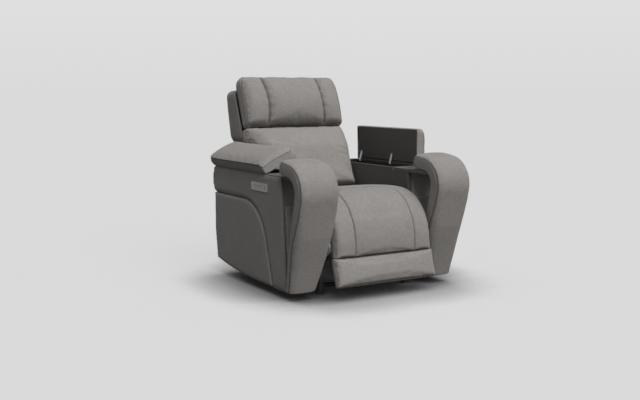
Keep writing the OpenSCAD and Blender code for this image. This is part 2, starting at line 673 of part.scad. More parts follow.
module footrest_brackets() color(steel) both() difference() {
    union() {
        slab(arm_x[0], arm_x[1]) polygon([on_board(board_from + 2, -pad_depth - board_t), high_pin + [12, 0],
            low_pin + [12, -4], low_pin + [0, -12], on_board(board_from + 116, -pad_depth - board_t)]);
        slab(arm_x[0] - 22, arm_x[0]) polygon([on_board(board_from + 30, -pad_depth - board_t),
            on_board(board_from + 30, -pad_depth - board_t - 3), on_board(board_from + 60, -pad_depth - board_t - 3),
            on_board(board_from + 60, -pad_depth - board_t)]);
    }
    for (p = [high_pin, low_pin]) rod(arm_x[0] - 1, arm_x[1] + 1, p[0], p[1], pin_r + 1);
}

lug_a = 40;
lug_pin = drive + lug_r * [sin(lug_a), -cos(lug_a)];
module drive_tube() color(black) {
    difference() {
        union() {
            rod(-arm_x[1], arm_x[1], drive[0], drive[1], 12);
            both() slab(arm_x[0], arm_x[1]) strap([drive + high_arm, drive, drive + low_arm], link_w);
        }
        both() for (p = [drive + high_arm, drive + low_arm]) rod(arm_x[0] - 1, arm_x[1] + 1, p[0], p[1], pin_r + 0.05);
    }
    both() rod(arm_x[1] - 1, plate_x[1] + 3, drive[0], drive[1], pin_r);
    both() slab(10, 14) strap([drive, lug_pin], 16);
    rod(-11, 11, lug_pin[0], lug_pin[1], pin_r);
}

module idler_arms() color(steel) both() {
    difference() {
        slab(arm_x[0], arm_x[1]) strap([idler + high_arm, idler, idler + low_arm], link_w);
        for (p = [idler + high_arm, idler + low_arm]) rod(arm_x[0] - 1, arm_x[1] + 1, p[0], p[1], pin_r + 1);
    }
    rod(arm_x[1] - 1, plate_x[1] + 3, idler[0], idler[1], pin_r);
}

// A link bar with one pin each for the idler, the drive arm and the footrest
module link_bar(arm) both() {
    slab(link_x[0], link_x[1]) strap([idler + arm, foot_axis + arm], link_w);
    for (p = [idler + arm, drive + arm, foot_axis + arm]) rod(link_x[0], arm_x[1] + 0.6, p[0], p[1], pin_r);
}
module upper_links() color(steel) link_bar(high_arm);
module lower_links() color(steel) link_bar(low_arm);

// Linear drives: a motor and gearbox behind a rail, and a forked carriage on it
rail_w = 30;
rail_h = 20;
module drive_unit(y, z, motor_y, ear) {
    difference() {
        union() {
            block([-rail_w / 2, rail_w / 2], y, [z - rail_h, z]);
            block([ear, ear + 12], [mount_tube[0] - 16, mount_tube[0] + 16],
                [min(mount_tube[1] - 16, z - 1), max(mount_tube[1] + 16, z - rail_h + 1)]);
        }
        rod(-40, 40, mount_tube[0], mount_tube[1], tube_r + 0.2);
    }
    block([-30, 30], motor_y, [z - 62, z - rail_h]);
    translate([0, (motor_y[0] + motor_y[1]) / 2, z - 118]) cylinder(h = 60, r = 22, $fn = 40);
}

foot_rail_z = lug_pin[1] - 30;
foot_stroke = 2 * lug_r * sin(lug_a);
module footrest_motor() color(black)
    drive_unit([lug_pin[0] - foot_stroke - 40, mount_tube[0] + 16], foot_rail_z,
        [mount_tube[0] - 110, mount_tube[0] - 40], -13);

fork_gap = pin_r + 2.5;
module fork(y, z, top) {
    difference() {
        block([-8, 8], [y - fork_gap - 6, y + fork_gap + 6], [z + gap, top]);
        block([-9, 9], [y - fork_gap, y + fork_gap], [z + 8, top + 1]);
    }
}

module footrest_carriage() color(steel) {
    fork(lug_pin[0], foot_rail_z, lug_pin[1] + 9);
    block([-rail_w / 2 - 5, rail_w / 2 + 5], [lug_pin[0] - 22, lug_pin[0] + 22],
        [foot_rail_z + gap, foot_rail_z + 8]);
    both() block([rail_w / 2 + gap, rail_w / 2 + 5], [lug_pin[0] - 22, lug_pin[0] + 22],
        [foot_rail_z - 14, foot_rail_z + 4]);
}

crank_pin = recline + [0, -60];
recline_rail_z = crank_pin[1] - 34;
module recline_motor() color(black)
    drive_unit([mount_tube[0] - 16, crank_pin[0] + 24], recline_rail_z,
        [mount_tube[0] + 40, mount_tube[0] + 110], 1);

module recline_carriage() color(steel) {
    fork(crank_pin[0], recline_rail_z, crank_pin[1] + 22);
    block([-rail_w / 2 - 5, rail_w / 2 + 5], [crank_pin[0] - 22, crank_pin[0] + 22],
        [recline_rail_z + gap, recline_rail_z + 8]);
    both() block([rail_w / 2 + gap, rail_w / 2 + 5], [crank_pin[0] - 22, crank_pin[0] + 22],
        [recline_rail_z - 14, recline_rail_z + 4]);
}

module power_box() color(black) difference() {
    block([rail_x[0] - 110, rail_x[0]], [60, 200], [glide_h + 2, glide_h + 42]);
    translate([rail_x[0] - 55, 201, glide_h + 34]) rotate([90, 0, 0]) cylinder(h = 15, r = 4, $fn = 32);
}

// Back: everything is placed on the dividing plane, [across, forward, up the slope]

up_slope = [sin(back_lean), cos(back_lean)];
forward = [-cos(back_lean), sin(back_lean)];
function on_back(s, n) = [back_y, back_z] + s * up_slope + n * forward;
module on_back_frame() translate([0, back_y, back_z]) rotate([-back_lean, 0, 0]) children();

back_half = inner_x - back_gap;
post_t = 20;
post_x = [plate_x[0] - 6 - post_t, plate_x[0] - 6];
shell_low_z = recline_z + 34;
shell_top_s = 298;
flare_z = [arm_top + 93, arm_top + 143];
module shell_side(inset) polygon(rounded([
    [on_back((shell_low_z - back_z) / cos(back_lean), 0)[0] + (inset > 0 ? -40 : 0), shell_low_z + inset, 0],
    [shell_rear - 147 - inset, shell_low_z + inset, 20 - inset],
    [shell_rear - 14 - inset, back_z + 170, 300],
    [shell_rear - inset, on_back(shell_top_s, 0)[1] - 4 - inset, 34 - inset],
    concat(on_back(shell_top_s - inset, inset > 0 ? 40 : 0), [8])]));
module shell_front(inset) polygon(rounded([
    [-back_half + inset, shell_low_z - 20, 0], [-back_half + inset, flare_z[0], 60], [-shell_half + inset, flare_z[1], 60],
    [-shell_half + inset, on_back(shell_top_s, 0)[1] - inset + 10, 50 - inset],
    [shell_half - inset, on_back(shell_top_s, 0)[1] - inset + 10, 50 - inset],
    [shell_half - inset, flare_z[1], 60], [back_half - inset, flare_z[0], 60], [back_half - inset, shell_low_z - 20, 0]]));
module shell_body(inset) intersection() {
    slab(-shell_half, shell_half) shell_side(inset);
    translate([0, 2 * shell_rear, 0]) rotate([90, 0, 0]) linear_extrude(3 * shell_rear) shell_front(inset);
}
module back_shell() color(cloth_dark) difference() {
    shell_body(0);
    shell_body(shell_t);
    both() block([post_x[0] - 2, post_x[1] + 2], [0, recline_y + 40], [0, shell_low_z + shell_t + 1]);
}

cross_s = [-300, 205];
cross_w = 35;
spring_xs = [80, 170];
post_n = [-46, -gap];
module back_frame() color(wood) {
    difference() {
        on_back_frame() {
            both() block(post_x, [-post_n[1], -post_n[0]], [-395, 240]);
            for (s = cross_s) block([-post_x[0] - 1, post_x[0] + 1], [-post_n[1], -post_n[0]], [s, s + cross_w]);
        }
        block([-outer_x, outer_x], [0, shell_rear], [0, recline_z + 46]);
    }
    both() slab(post_x[0] + 2, post_x[1] - 2) strap([crank_pin, recline, recline + [22, 72]], 36);
    both() rod(post_x[1] - 4, plate_x[1] + 3, recline[0], recline[1], pin_r);
    rod(-post_x[0] - 4, post_x[0] + 4, crank_pin[0], crank_pin[1], pin_r);
}

module back_springs() color(steel) on_back_frame() both() for (x = spring_xs)
    translate([x, 30, cross_s[0] + cross_w]) rotate([90, 0, 0]) wave_spring(cross_s[1] - cross_s[0] - cross_w, 24);

back_top_s = 48;
back_low_s = -340;
back_flare = (back_top_s - back_low_s) / 4;
back_spread = (head_half - 3 - cushion_half) / back_flare;
// The cushion is full at the small of the back and thins towards its top
function back_fill(s) = let (u = min(1, max(0, (30 - s) / 160))) u * u * (3 - 2 * u);
back_len = back_top_s - back_low_s;
back_steps = [0, 0.01, 0.03, 0.067, 0.155, 0.335, 0.54, 0.63, 0.7, 0.76, 0.825, 0.89, 0.933, 0.97, 0.99, 1];
module back_cushion() color(cloth) on_back_frame() skin([for (f = back_steps)
    let (d = f * back_len, s = back_low_s + d, r = min(roll(d + 3, 30), roll(back_len - d + 3, 60)),
         half = cushion_half + min(back_flare, max(0, s + 90)) * back_spread - 6 * (1 - r),
         t = (back_pad_top_t + (back_pad_t - back_pad_top_t) * back_fill(s)) * (0.5 + 0.5 * r))
    [for (p = pad_section(half, t, back_crown * r, 26 * r + 2, 3)) [p[0], -gap - p[1], s]]]);

// Headrest on a rod that lies in the crease above the back cushion
head_pin = [55, 58];
head_low_s = 63;
head_n = 20;
ear_x = [120, 124];
module headrest_hinge() color(black) on_back_frame() {
    both() block(ear_x, [-head_pin[1] - 4, 20], [head_pin[0] - 5, head_pin[0] + 5]);
    both() block([ear_x[0], ear_x[0] + 30], [-post_n[0], -post_n[0] + 4], [head_pin[0] - 5, cross_s[1] + cross_w - 4]);
    both() block([ear_x[0], ear_x[1]], [19, -post_n[0] + 1], [head_pin[0] - 5, head_pin[0] + 5]);
    rod(-150, 150, -head_pin[1], head_pin[0], 4);
}

module headrest_board() color(cloth_dark) on_back_frame() {
    difference() {
        block([-head_half + 12, head_half - 12], [-head_n, -head_n + 10], [head_low_s + 4, head_low_s + head_h - 40]);
        both() block([ear_x[0] - 14, ear_x[0] + 26], [-head_n + 4, 0], [head_low_s, head_low_s + 2]);
    }
    both() difference() {
        union() {
            block([ear_x[1] + 1, ear_x[1] + 4], [-head_pin[1] - 6, -head_n + 10],
                [head_pin[0] - 4, head_pin[0] + 5]);
            block([ear_x[1] + 1, ear_x[1] + 4], [-head_n, -head_n + 10], [head_pin[0] - 4, head_low_s + 6]);
        }
        rod(ear_x[1], ear_x[1] + 5, -head_pin[1], head_pin[0], 4.06);
    }
    block([-12, 12], [-head_n + 2, 40], [head_low_s + 2, head_low_s + 6]);
}

head_steps = [0, 0.01, 0.03, 0.07, 0.17, 0.31, 0.49, 0.66, 0.8, 0.885, 0.94, 0.972, 0.993, 1];
// Bow of the headrest's face along its height
function head_bow(f) = sin(180 * pow(f, 0.85));
module headrest_pillow() color(cloth) on_back_frame() skin([for (f = head_steps)
    let (d = f * head_h, r = min(roll(d + 2, 26), roll(head_h - d + 2, 44)),
         half = head_half - 26 * (1 - roll(head_h - d + 4, 60)),
         t = head_t * (0.45 + 0.55 * r) + 18 * head_bow(f), crown = head_crown * (0.35 + 0.65 * head_bow(f)) * r)
    [for (p = pad_section(half, t, crown, 16 * r + 2, 3, seam_x, 9 * r))
        [p[0], -head_n - gap - p[1], head_low_s + d]]]);

motor_s = -210;
module headrest_motor() color(black) on_back_frame() {
    block([-26, 26], [16, 46], [motor_s, motor_s + 70]);
    translate([0, 31, motor_s + 70]) cylinder(h = 90, r = 12, $fn = 32);
    block([-26, 26], [-post_n[0], -post_n[0] + 4], [cross_s[0] + 3, motor_s + 40]);
}
module headrest_rod() color(steel) on_back_frame()
    translate([0, 31, motor_s + 160 + gap]) cylinder(h = head_low_s - motor_s - 160, r = 6, $fn = 32);

base_frame();
floor_glides();
side_plate(1);  // side_plate_left
side_plate(-1);  // side_plate_right
seat_box();
seat_springs();
seat_cushion();
arm_bolts();
arm_frame(1);  // arm_frame_left
arm_frame(-1);  // arm_frame_right
arm_band(1);  // arm_band_left
arm_band(-1);  // arm_band_right
arm_rear_panel(1);  // arm_rear_panel_left
arm_rear_panel(-1);  // arm_rear_panel_right
arm_front_pad(1);  // arm_front_pad_left
arm_front_pad(-1);  // arm_front_pad_right
arm_tray(1);  // arm_tray_left
arm_tray(-1);  // arm_tray_right
storage_liner(1);  // storage_liner_left
storage_liner(-1);  // storage_liner_right
cup_holder(1);  // cup_holder_left
cup_holder(-1);  // cup_holder_right
arm_facing(1);  // arm_facing_left
arm_facing(-1);  // arm_facing_right
lid_hinges(1);  // lid_hinges_left
lid_hinges(-1);  // lid_hinges_right
lid_board(1);  // lid_board_left
lid_board(-1);  // lid_board_right
lid_pad(1);  // lid_pad_left
lid_pad(-1);  // lid_pad_right
lid_stays(1);  // lid_stays_left
lid_stays(-1);  // lid_stays_right
control_plate();
button(0);  // button_recline
button(1);  // button_return
button(2);  // button_head_up
button(3);  // button_head_down
footrest_board();
leg_pad();
footrest_pad();
footrest_brackets();
drive_tube();
idler_arms();
upper_links();
lower_links();
footrest_motor();
footrest_carriage();
recline_motor();
recline_carriage();
headrest_motor();
headrest_rod();
back_frame();
back_springs();
back_shell();
back_cushion();
headrest_hinge();
headrest_board();
headrest_pillow();
power_box();
motor_tube();
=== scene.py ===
import logging
import math
from collections.abc import Callable, Mapping, Sequence
from dataclasses import dataclass, field
from enum import Enum

import bpy
import numpy as np
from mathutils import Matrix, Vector, kdtree, noise


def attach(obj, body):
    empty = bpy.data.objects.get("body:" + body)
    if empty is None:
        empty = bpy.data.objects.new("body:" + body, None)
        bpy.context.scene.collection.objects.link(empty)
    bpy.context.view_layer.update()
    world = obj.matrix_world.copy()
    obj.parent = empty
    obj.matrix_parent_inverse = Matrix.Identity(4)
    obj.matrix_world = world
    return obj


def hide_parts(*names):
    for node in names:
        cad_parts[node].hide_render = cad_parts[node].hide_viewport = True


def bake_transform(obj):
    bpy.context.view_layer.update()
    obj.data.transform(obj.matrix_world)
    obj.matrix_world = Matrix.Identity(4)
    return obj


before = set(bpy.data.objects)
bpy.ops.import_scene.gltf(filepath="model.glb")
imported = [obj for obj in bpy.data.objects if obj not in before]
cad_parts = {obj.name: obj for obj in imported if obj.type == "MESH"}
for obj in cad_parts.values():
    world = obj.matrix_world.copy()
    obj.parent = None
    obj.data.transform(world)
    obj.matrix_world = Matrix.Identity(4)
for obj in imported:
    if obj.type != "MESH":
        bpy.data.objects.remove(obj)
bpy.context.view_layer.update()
LOG = logging.getLogger("recliner")

Array = np.ndarray
Colour = tuple[float, float, float]
Triple = tuple[float, float, float]
Pair = tuple[float, float]
Form = Callable[[Array, Array], Array]
Piece = bpy.types.Object
Node = bpy.types.Node
Tree = bpy.types.NodeTree
Material = bpy.types.Material
Socket = bpy.types.NodeSocket
VECTOR, FLOAT, COLOUR = "NodeSocketVector", "NodeSocketFloat", "NodeSocketColor"
GRID_STEP = 0.0085  # spacing of a cover's grid lines, in metres
THREAD = 0.0011  # width of one thread of the cloth, in metres
TURNED_LIFT = 0.0004  # how far a boxing that is turned in lies off the pad's back, in metres
HELD_NEAR_SEAM = 0.9  # how far round a seam the cloth is held, as a share of the seam's width


# ---------------------------------------------------------------- small maths


def roll(distance: Array | float, radius: float) -> Array:
    """Quarter-circle edge: 0 on the edge and 1 from the radius inwards."""
    return np.sqrt(np.clip(1 - (1 - np.clip(np.asarray(distance) / radius, 0, 1)) ** 2, 0, 1))


def unit(vectors: Array) -> Array:
    """Scales the vectors along the last axis to length 1."""
    return vectors / np.maximum(np.linalg.norm(vectors, axis=-1, keepdims=True), 1e-12)


def ease(share: Array | float) -> Array | float:
    """A smooth step from 0 to 1."""
    return share * share * (3 - 2 * share)


def graded(low: float, high: float, step: float, fine: Sequence[float] = (), near: float = 0.012) -> Array:
    """Grid lines over a span, closer together at both ends and near given places.

    Args:
        low: Start of the span.
        high: End of the span.
        step: Spacing away from the fine places.
        fine: Places with close lines, such as seams.
        near: How far around such a place the lines stay close.

    Returns:
        The sorted places of the lines.
    """
    finest, shortest = 0.28, 0.15
    spots = [*fine, low, high]
    lines, x = [low], low
    while x < high - 1e-6:
        gap = min(abs(x + 0.001 - s) for s in spots)
        x += step * min(1.0, finest + (1 - finest) * gap / (near * 2.2))
        lines.append(min(x, high))
    if lines[-1] - lines[-2] < step * shortest:
        lines.pop(-2)
    return np.array(lines)


def rim(across: Array, wide: float, ahead: Array, deep: float) -> Array:
    """How low a face lies by its distances from two edges: 1 on an edge, 0 inside both rolls."""
    return np.minimum(1, np.hypot(1 - roll(across, wide), 1 - roll(ahead, deep)))


def sampled(at: Array, run: Array, points: Array) -> Array:
    """Points at given distances along a line in the side view that is known at others."""
    return np.stack([np.interp(at, run, points[:, k]) for k in range(2)], axis=1)


def wander(x: Array, y: Array, scale: float, seed: float) -> Array:
    """Smooth repeatable noise of about -1 to 1, in lumps of a given size, from a given field."""
    flat = [noise.noise(Vector((a / scale, b / scale, seed))) for a, b in zip(np.ravel(x), np.ravel(y))]
    return np.array(flat).reshape(np.shape(x))


@dataclass(frozen=True)
class Crease:
    """A soft fold in cloth, drawn from one place of a pad's face to another."""

    start: Pair
    end: Pair
    depth: float
    width: float

    def dip(self, x: Array, y: Array) -> Array:
        """How far the fold pulls the face in.

        Args:
            x: Places across the face.
            y: Places along the face.

        Returns:
            The depth at each place, in metres.
        """
        a, b = np.array(self.start), np.array(self.end)
        line = b - a
        t = np.clip(((x - a[0]) * line[0] + (y - a[1]) * line[1]) / (line @ line), 0, 1)
        off = np.hypot(x - a[0] - t * line[0], y - a[1] - t * line[1])
        side = np.sign((x - a[0]) * line[1] - (y - a[1]) * line[0])
        fade = np.sin(np.pi * np.clip(t * 0.9 + 0.05, 0, 1)) ** 0.7
        ridge = 0.45 * np.exp(-(((off - 1.9 * self.width) / self.width) ** 2)) * (side > 0)
        return self.depth * fade * (np.exp(-((off / self.width) ** 2)) - ridge)


# ---------------------------------------------------------------- meshes


def placed(name: str, data: bpy.types.ID) -> Piece:
    """Puts a mesh, a lamp or a camera into the scene.

    Args:
        name: Name of the object.
        data: What it shows.

    Returns:
        The new object.
    """
    made = bpy.data.objects.new(name, data)
    bpy.context.scene.collection.objects.link(made)
    return made


def make_object(name: str, points: Array, faces: Sequence[Sequence[int]]) -> Piece:
    """Makes a smooth-shaded mesh object in the scene.

    Args:
        name: Name of the piece.
        points: Vertices, one a row, in metres.
        faces: Vertex numbers of each face.

    Returns:
        The new object.
    """
    mesh = bpy.data.meshes.new(name)
    mesh.from_pydata(np.asarray(points, float).tolist(), [], [list(map(int, f)) for f in faces])
    mesh.validate()
    mesh.shade_smooth()
    return placed(name, mesh)


def read(layer: Sequence[object], key: str, width: int = 3) -> Array:
    """Reads one property of every item in a mesh layer.

    Args:
        layer: Vertices, normals or an attribute's data.
        key: Name of the property.
        width: How many numbers each item has.

    Returns:
        One row for each item.
    """
    out = np.zeros(len(layer) * width)
    layer.foreach_get(key, out)
    return out.reshape(-1, width)


def coordinates(piece: Piece) -> Array:
    """Reads a mesh's vertices, one row of x, y and z for each."""
    return read(piece.data.vertices, "co")


def normals(piece: Piece) -> Array:
    """Reads a mesh's vertex normals, one row for each."""
    return read(piece.data.vertex_normals, "vector")


def stored(piece: Piece, name: str) -> Array:
    """Reads the number that an attribute holds for each vertex."""
    return read(piece.data.attributes[name].data, "value", 1)[:, 0]


def set_coordinates(piece: Piece, points: Array) -> None:
    """Writes a mesh's vertices, one row for each."""
    piece.data.vertices.foreach_set("co", np.asarray(points, float).ravel())
    piece.data.update()


def set_field(piece: Piece, name: str, values: Array) -> None:
    """Stores one number or one vector a vertex.

    Args:
        piece: The object.
        name: Name of the attribute.
        values: A value, or a row of three, for each vertex.
    """
    flat = np.asarray(values, np.float32)
    kind, key = ("FLOAT_VECTOR", "vector") if flat.ndim == 2 else ("FLOAT", "value")
    layer = piece.data.attributes.get(name) or piece.data.attributes.new(name, kind, "POINT")
    layer.data.foreach_set(key, flat.ravel())


def face_outwards(piece: Piece) -> None:
    """Turns the faces of a closed mesh round if they look inwards.

    Args:
        piece: The mesh.
    """
    co = coordinates(piece)
    piece.data.calc_loop_triangles()
    corners = np.zeros(len(piece.data.loop_triangles) * 3, np.int32)
    piece.data.loop_triangles.foreach_get("vertices", corners)
    a, b, c = (co[corners.reshape(-1, 3)[:, k]] for k in range(3))
    if np.sum(np.einsum("ij,ij->i", a, np.cross(b, c))) < 0:
        piece.data.flip_normals()


@dataclass
class Pad:
    """A closed sewn pad: a face over a grid, a boxing all round it and a plain back.

    The grid is `across` by `along`. `face` gives the height over the back plane, and
    `place` turns across, along and height into points in the chair's frame. Corner
    radii are for the low and the high end, or for low left, low right, high left and
    high right. `turned` is how far the boxing turns in under the pad's back.
    """

    name: str
    across: Array
    along: Array
    place: Callable[[Array, Array, Array], Array]
    face: Form
    back: float | Form = 0.0
    rows: int = 6
    bulge: float | Form = 0.003
    fullness: float = 0.6
    corner: Sequence[float] = (0.012, 0.012)
    back_corner: Sequence[float] | None = None
    # the sewn line's distance, which also sets the painted shade along it
    seam: Form | None = None
    seam_width: float = 0.0035
    # how strongly the boxing's edge is held, and how much painted shade darkens it along the sewn edge
    welt_and_painted_shade: float | Form = 0.0
    turned: float = 0.0

    def rounded(self, corner: Sequence[float]) -> tuple[Array, Array]:
        """Grid places with the four corners of the outline rounded.

        Args:
            corner: The corners' radii, two or four.

        Returns:
            Places across and along, as two grids.
        """
        x, y = np.meshgrid(self.across, self.along, indexing="ij")
        a, low, high = self.across[-1], self.along[0], self.along[-1]
        radii = corner if len(corner) == 4 else np.repeat(corner, 2)
        for radius, side, end in zip(radii, (-1, 1, -1, 1), (low, low, high, high)):
            u = np.clip((x * side - (a - radius)) / radius, 0, 1)
            v = np.clip(1 - np.abs(y - end) / radius, 0, 1)
            both = (u > 0) & (v > 0)
            nu, nv = u * np.sqrt(1 - v * v / 2), v * np.sqrt(1 - u * u / 2)
            x = np.where(both, side * (a - radius + nu * radius), x)
            toward = 1 if end == low else -1
            y = np.where(both, end + toward * (1 - nv) * radius, y)
        return x, y

    @staticmethod
    def value(rule: float | Form, x: Array, y: Array) -> Array:
        """The values of a rule, which is one number or a function of the place."""
        return rule(x, y) if callable(rule) else rule + 0.0 * x

    def build(self) -> Piece:
        """Makes the mesh, with the attributes weave and hold and one that marks the sewn lines, for pressing them in
        and for painted shade along them.

        Returns:
            The pad.
        """
        x, y = self.rounded(self.corner)
        nu, nv = x.shape
        total = nu * nv
        grid = np.arange(total).reshape(nu, nv)
        loop = np.concatenate([grid[:, 0], grid[-1, 1:], grid[-2::-1, -1], grid[0, -2:0:-1]])
        x, y, h = x.ravel(), y.ravel(), self.face(x, y).ravel()
        lx, ly, lh = x[loop], y[loop], h[loop]
        bx, by = (places.ravel()[loop] for places in self.rounded(self.back_corner or self.corner))
        tangent = unit(np.stack([np.roll(lx, -1) - np.roll(lx, 1), np.roll(ly, -1) - np.roll(ly, 1)], axis=1))
        out = np.stack([tangent[:, 1], -tangent[:, 0]], axis=1)
        n = len(loop)
        low, proud, sewn = (self.value(rule, lx, ly) for rule in (self.back, self.bulge, self.welt_and_painted_shade))
        points, weave, rings = [self.place(x, y, h)], [np.stack([x, y], axis=1)], [loop]
        faces = [grid[[i, i + 1, i + 1, i], [j, j, j + 1, j + 1]] for i in range(nu - 1) for j in range(nv - 1)]

        def add_ring(ring_x: Array, ring_y: Array, level: Array, cloth: Array) -> None:
            """Adds a ring of points and joins it to the one before.

            Args:
                ring_x: Places across.
                ring_y: Places along.
                level: Heights.
                cloth: Places on the cloth.
            """
            before, ring = rings[-1], total + (len(rings) - 1) * n + np.arange(n)
            points.append(self.place(ring_x, ring_y, level))
            weave.append(cloth)
            faces.extend(zip(np.roll(before, -1), np.roll(ring, -1), ring, before))
            rings.append(ring)

        for k in range(1, self.rows + 1):
            f = k / self.rows
            puff = out * np.reshape(proud * math.sin(math.pi * f) ** self.fullness, (-1, 1))
            level = lh * (1 - f) + low * f
            ring_x, ring_y = lx * (1 - f) + bx * f, ly * (1 - f) + by * f
            cloth = np.stack([lx, ly], axis=1) + out * (lh - level)[:, None]
            add_ring(ring_x + puff[:, 0], ring_y + puff[:, 1], level, cloth)
        if self.turned > 0:
            inset = out * self.turned
            add_ring(bx - inset[:, 0], by - inset[:, 1], low - TURNED_LIFT, weave[-1] + inset)
        # the back: one strip across for each row of the grid
        last = rings[-1]
        left, right = [last[(-j) % n] for j in range(nv)], last[nu - 1 : nu - 1 + nv]
        for j in range(nv - 1):
            strip = [left[j], left[j + 1], right[j + 1], right[j]]
            if j == 0:
                strip = [left[0], left[1], right[1], *last[nu - 1 : 0 : -1]]
            if j == nv - 2:
                strip = [left[j], *last[nu + nv - 2 : 2 * nu + nv - 2][::-1], right[j]]
            faces.append(strip)
        pad = make_object(self.name, np.concatenate(points), faces)
        face_outwards(pad)
        flat = np.concatenate(weave)
        hold, seam = np.ones(len(flat)), np.zeros(len(flat))
        hold[:total] = 0
        held_rows = self.rows // 3
        hold[total : total + held_rows * n] = np.tile(sewn > 0, held_rows)
        hold[loop] = sewn > 0
        # painted shade: the cloth is darkened along the sewn line, where its groove is
        if self.seam is not None:
            d = np.abs(self.seam(x, y))
            seam[:total] = np.exp(-((d / self.seam_width) ** 2))
            hold[:total] = np.maximum(hold[:total], d < self.seam_width * HELD_NEAR_SEAM)
        # the welt rows carry painted shade along the sewn edge
        seam[loop] = np.maximum(seam[loop], sewn)
        seam[total : total + n] = sewn
        set_field(pad, "weave", np.column_stack([flat, np.zeros(len(flat))]))
        set_field(pad, "seam", seam)
        set_field(pad, "hold", hold)
        return pad


def swell(piece: Piece, pressure: float, cap: float, slack: float) -> None:
    """Blows a pad up under cloth pressure, held at its seams, and keeps the result.

    Args:
        piece: A mesh with the attribute hold.
        pressure: Pressure inside the pad.
        cap: The most that a point may move, in metres.
        slack: How much larger the cover is cut than the form.
    """
    frames = 20
    rest = coordinates(piece)
    group = piece.vertex_groups.new(name="held")
    group.add(np.nonzero(stored(piece, "hold") > 0.5)[0].tolist(), 1.0, "REPLACE")
    cloth = piece.modifiers.new("swell", "CLOTH")
    cloth.settings.vertex_group_mass = "held"
    cloth.settings.quality = 5
    cloth.settings.mass = 0.3
    cloth.settings.tension_stiffness = 12
    cloth.settings.compression_stiffness = 8
    cloth.settings.bending_stiffness = 0.4
    cloth.settings.shrink_min = -slack
    cloth.settings.use_pressure = True
    cloth.settings.uniform_pressure_force = pressure
    cloth.settings.effector_weights.gravity = 0
    cloth.collision_settings.use_collision = False
    cloth.point_cache.frame_start, cloth.point_cache.frame_end = 1, frames
    scene = bpy.context.scene
    for step in range(1, frames + 1):
        scene.frame_set(step)
    push = coordinates(piece.evaluated_get(bpy.context.evaluated_depsgraph_get())) - rest
    piece.modifiers.remove(cloth)
    scene.frame_set(1)
    push[~np.isfinite(push).all(axis=1)] = 0
    length = np.linalg.norm(push, axis=1, keepdims=True)
    push *= cap * np.tanh(length / cap) / np.maximum(length, 1e-9)
    set_coordinates(piece, rest + push)


def softened(node: str, voxel: float, passes: int) -> Piece:
    """Copies a CAD form as an upholstered one, with its edges rounded off.

    Args:
        node: The CAD node to copy.
        voxel: Size of the remesh cells, in metres.
        passes: How many times the surface is relaxed.

    Returns:
        The new piece, with weave coordinates seen square on from the way each place faces.
    """
    made = placed(f"{node}_cover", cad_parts[node].data.copy())
    made.data.name = made.name
    cells = made.modifiers.new("cells", "REMESH")
    cells.mode, cells.voxel_size, cells.adaptivity = "VOXEL", voxel, 0.0
    relax = made.modifiers.new("relax", "SMOOTH")
    relax.iterations, relax.factor = passes, 0.5
    mesh = bpy.data.meshes.new_from_object(made.evaluated_get(bpy.context.evaluated_depsgraph_get()))
    made.modifiers.clear()
    made.data = mesh
    mesh.materials.clear()
    mesh.shade_smooth()
    co, axis = coordinates(made), np.argmax(np.abs(normals(made)), axis=1)[:, None]
    flat = np.where(axis == 0, co[:, [1, 2]], np.where(axis == 1, co[:, [0, 2]], co[:, [0, 1]]))
    set_field(made, "weave", np.column_stack([flat, np.zeros(len(co))]))
    set_field(made, "seam", np.zeros(len(co)))
    return made


@dataclass(frozen=True)
class Padding:
    """How a side panel's outer face is rounded off towards its edges.

    `sign` is the way the outer face looks along X, `depth` how far its edge lies back,
    `radius` the width of the rounded edge and `crown` how far the middle stands out.
    """

    sign: int
    depth: float
    radius: float
    crown: float

    def apply(self, piece: Piece) -> None:
        """Rounds a panel that lies square to the chair's width.

        Args:
            piece: The panel.
        """
        co, nrm = coordinates(piece), normals(piece)
        sides = np.nonzero(np.abs(nrm[:, 0]) < 0.6)[0]
        tree = kdtree.KDTree(len(sides))
        for i in sides:
            tree.insert((0, co[i][1], co[i][2]), int(i))
        tree.balance()
        gap = np.array([tree.find((0, y, z))[2] for y, z in co[:, 1:]])
        outer = np.clip((nrm[:, 0] * self.sign - 0.2) / 0.5, 0, 1)
        lift = self.crown * (1 - np.exp(-gap / 0.04)) - self.depth * (1 - roll(gap + 0.001, self.radius))
        lift += 0.0007 * wander(co[:, 1], co[:, 2], 0.07, 4.0 + self.sign)
        co[:, 0] += self.sign * lift * outer
        set_coordinates(piece, co)


# ---------------------------------------------------------------- shared shader effects


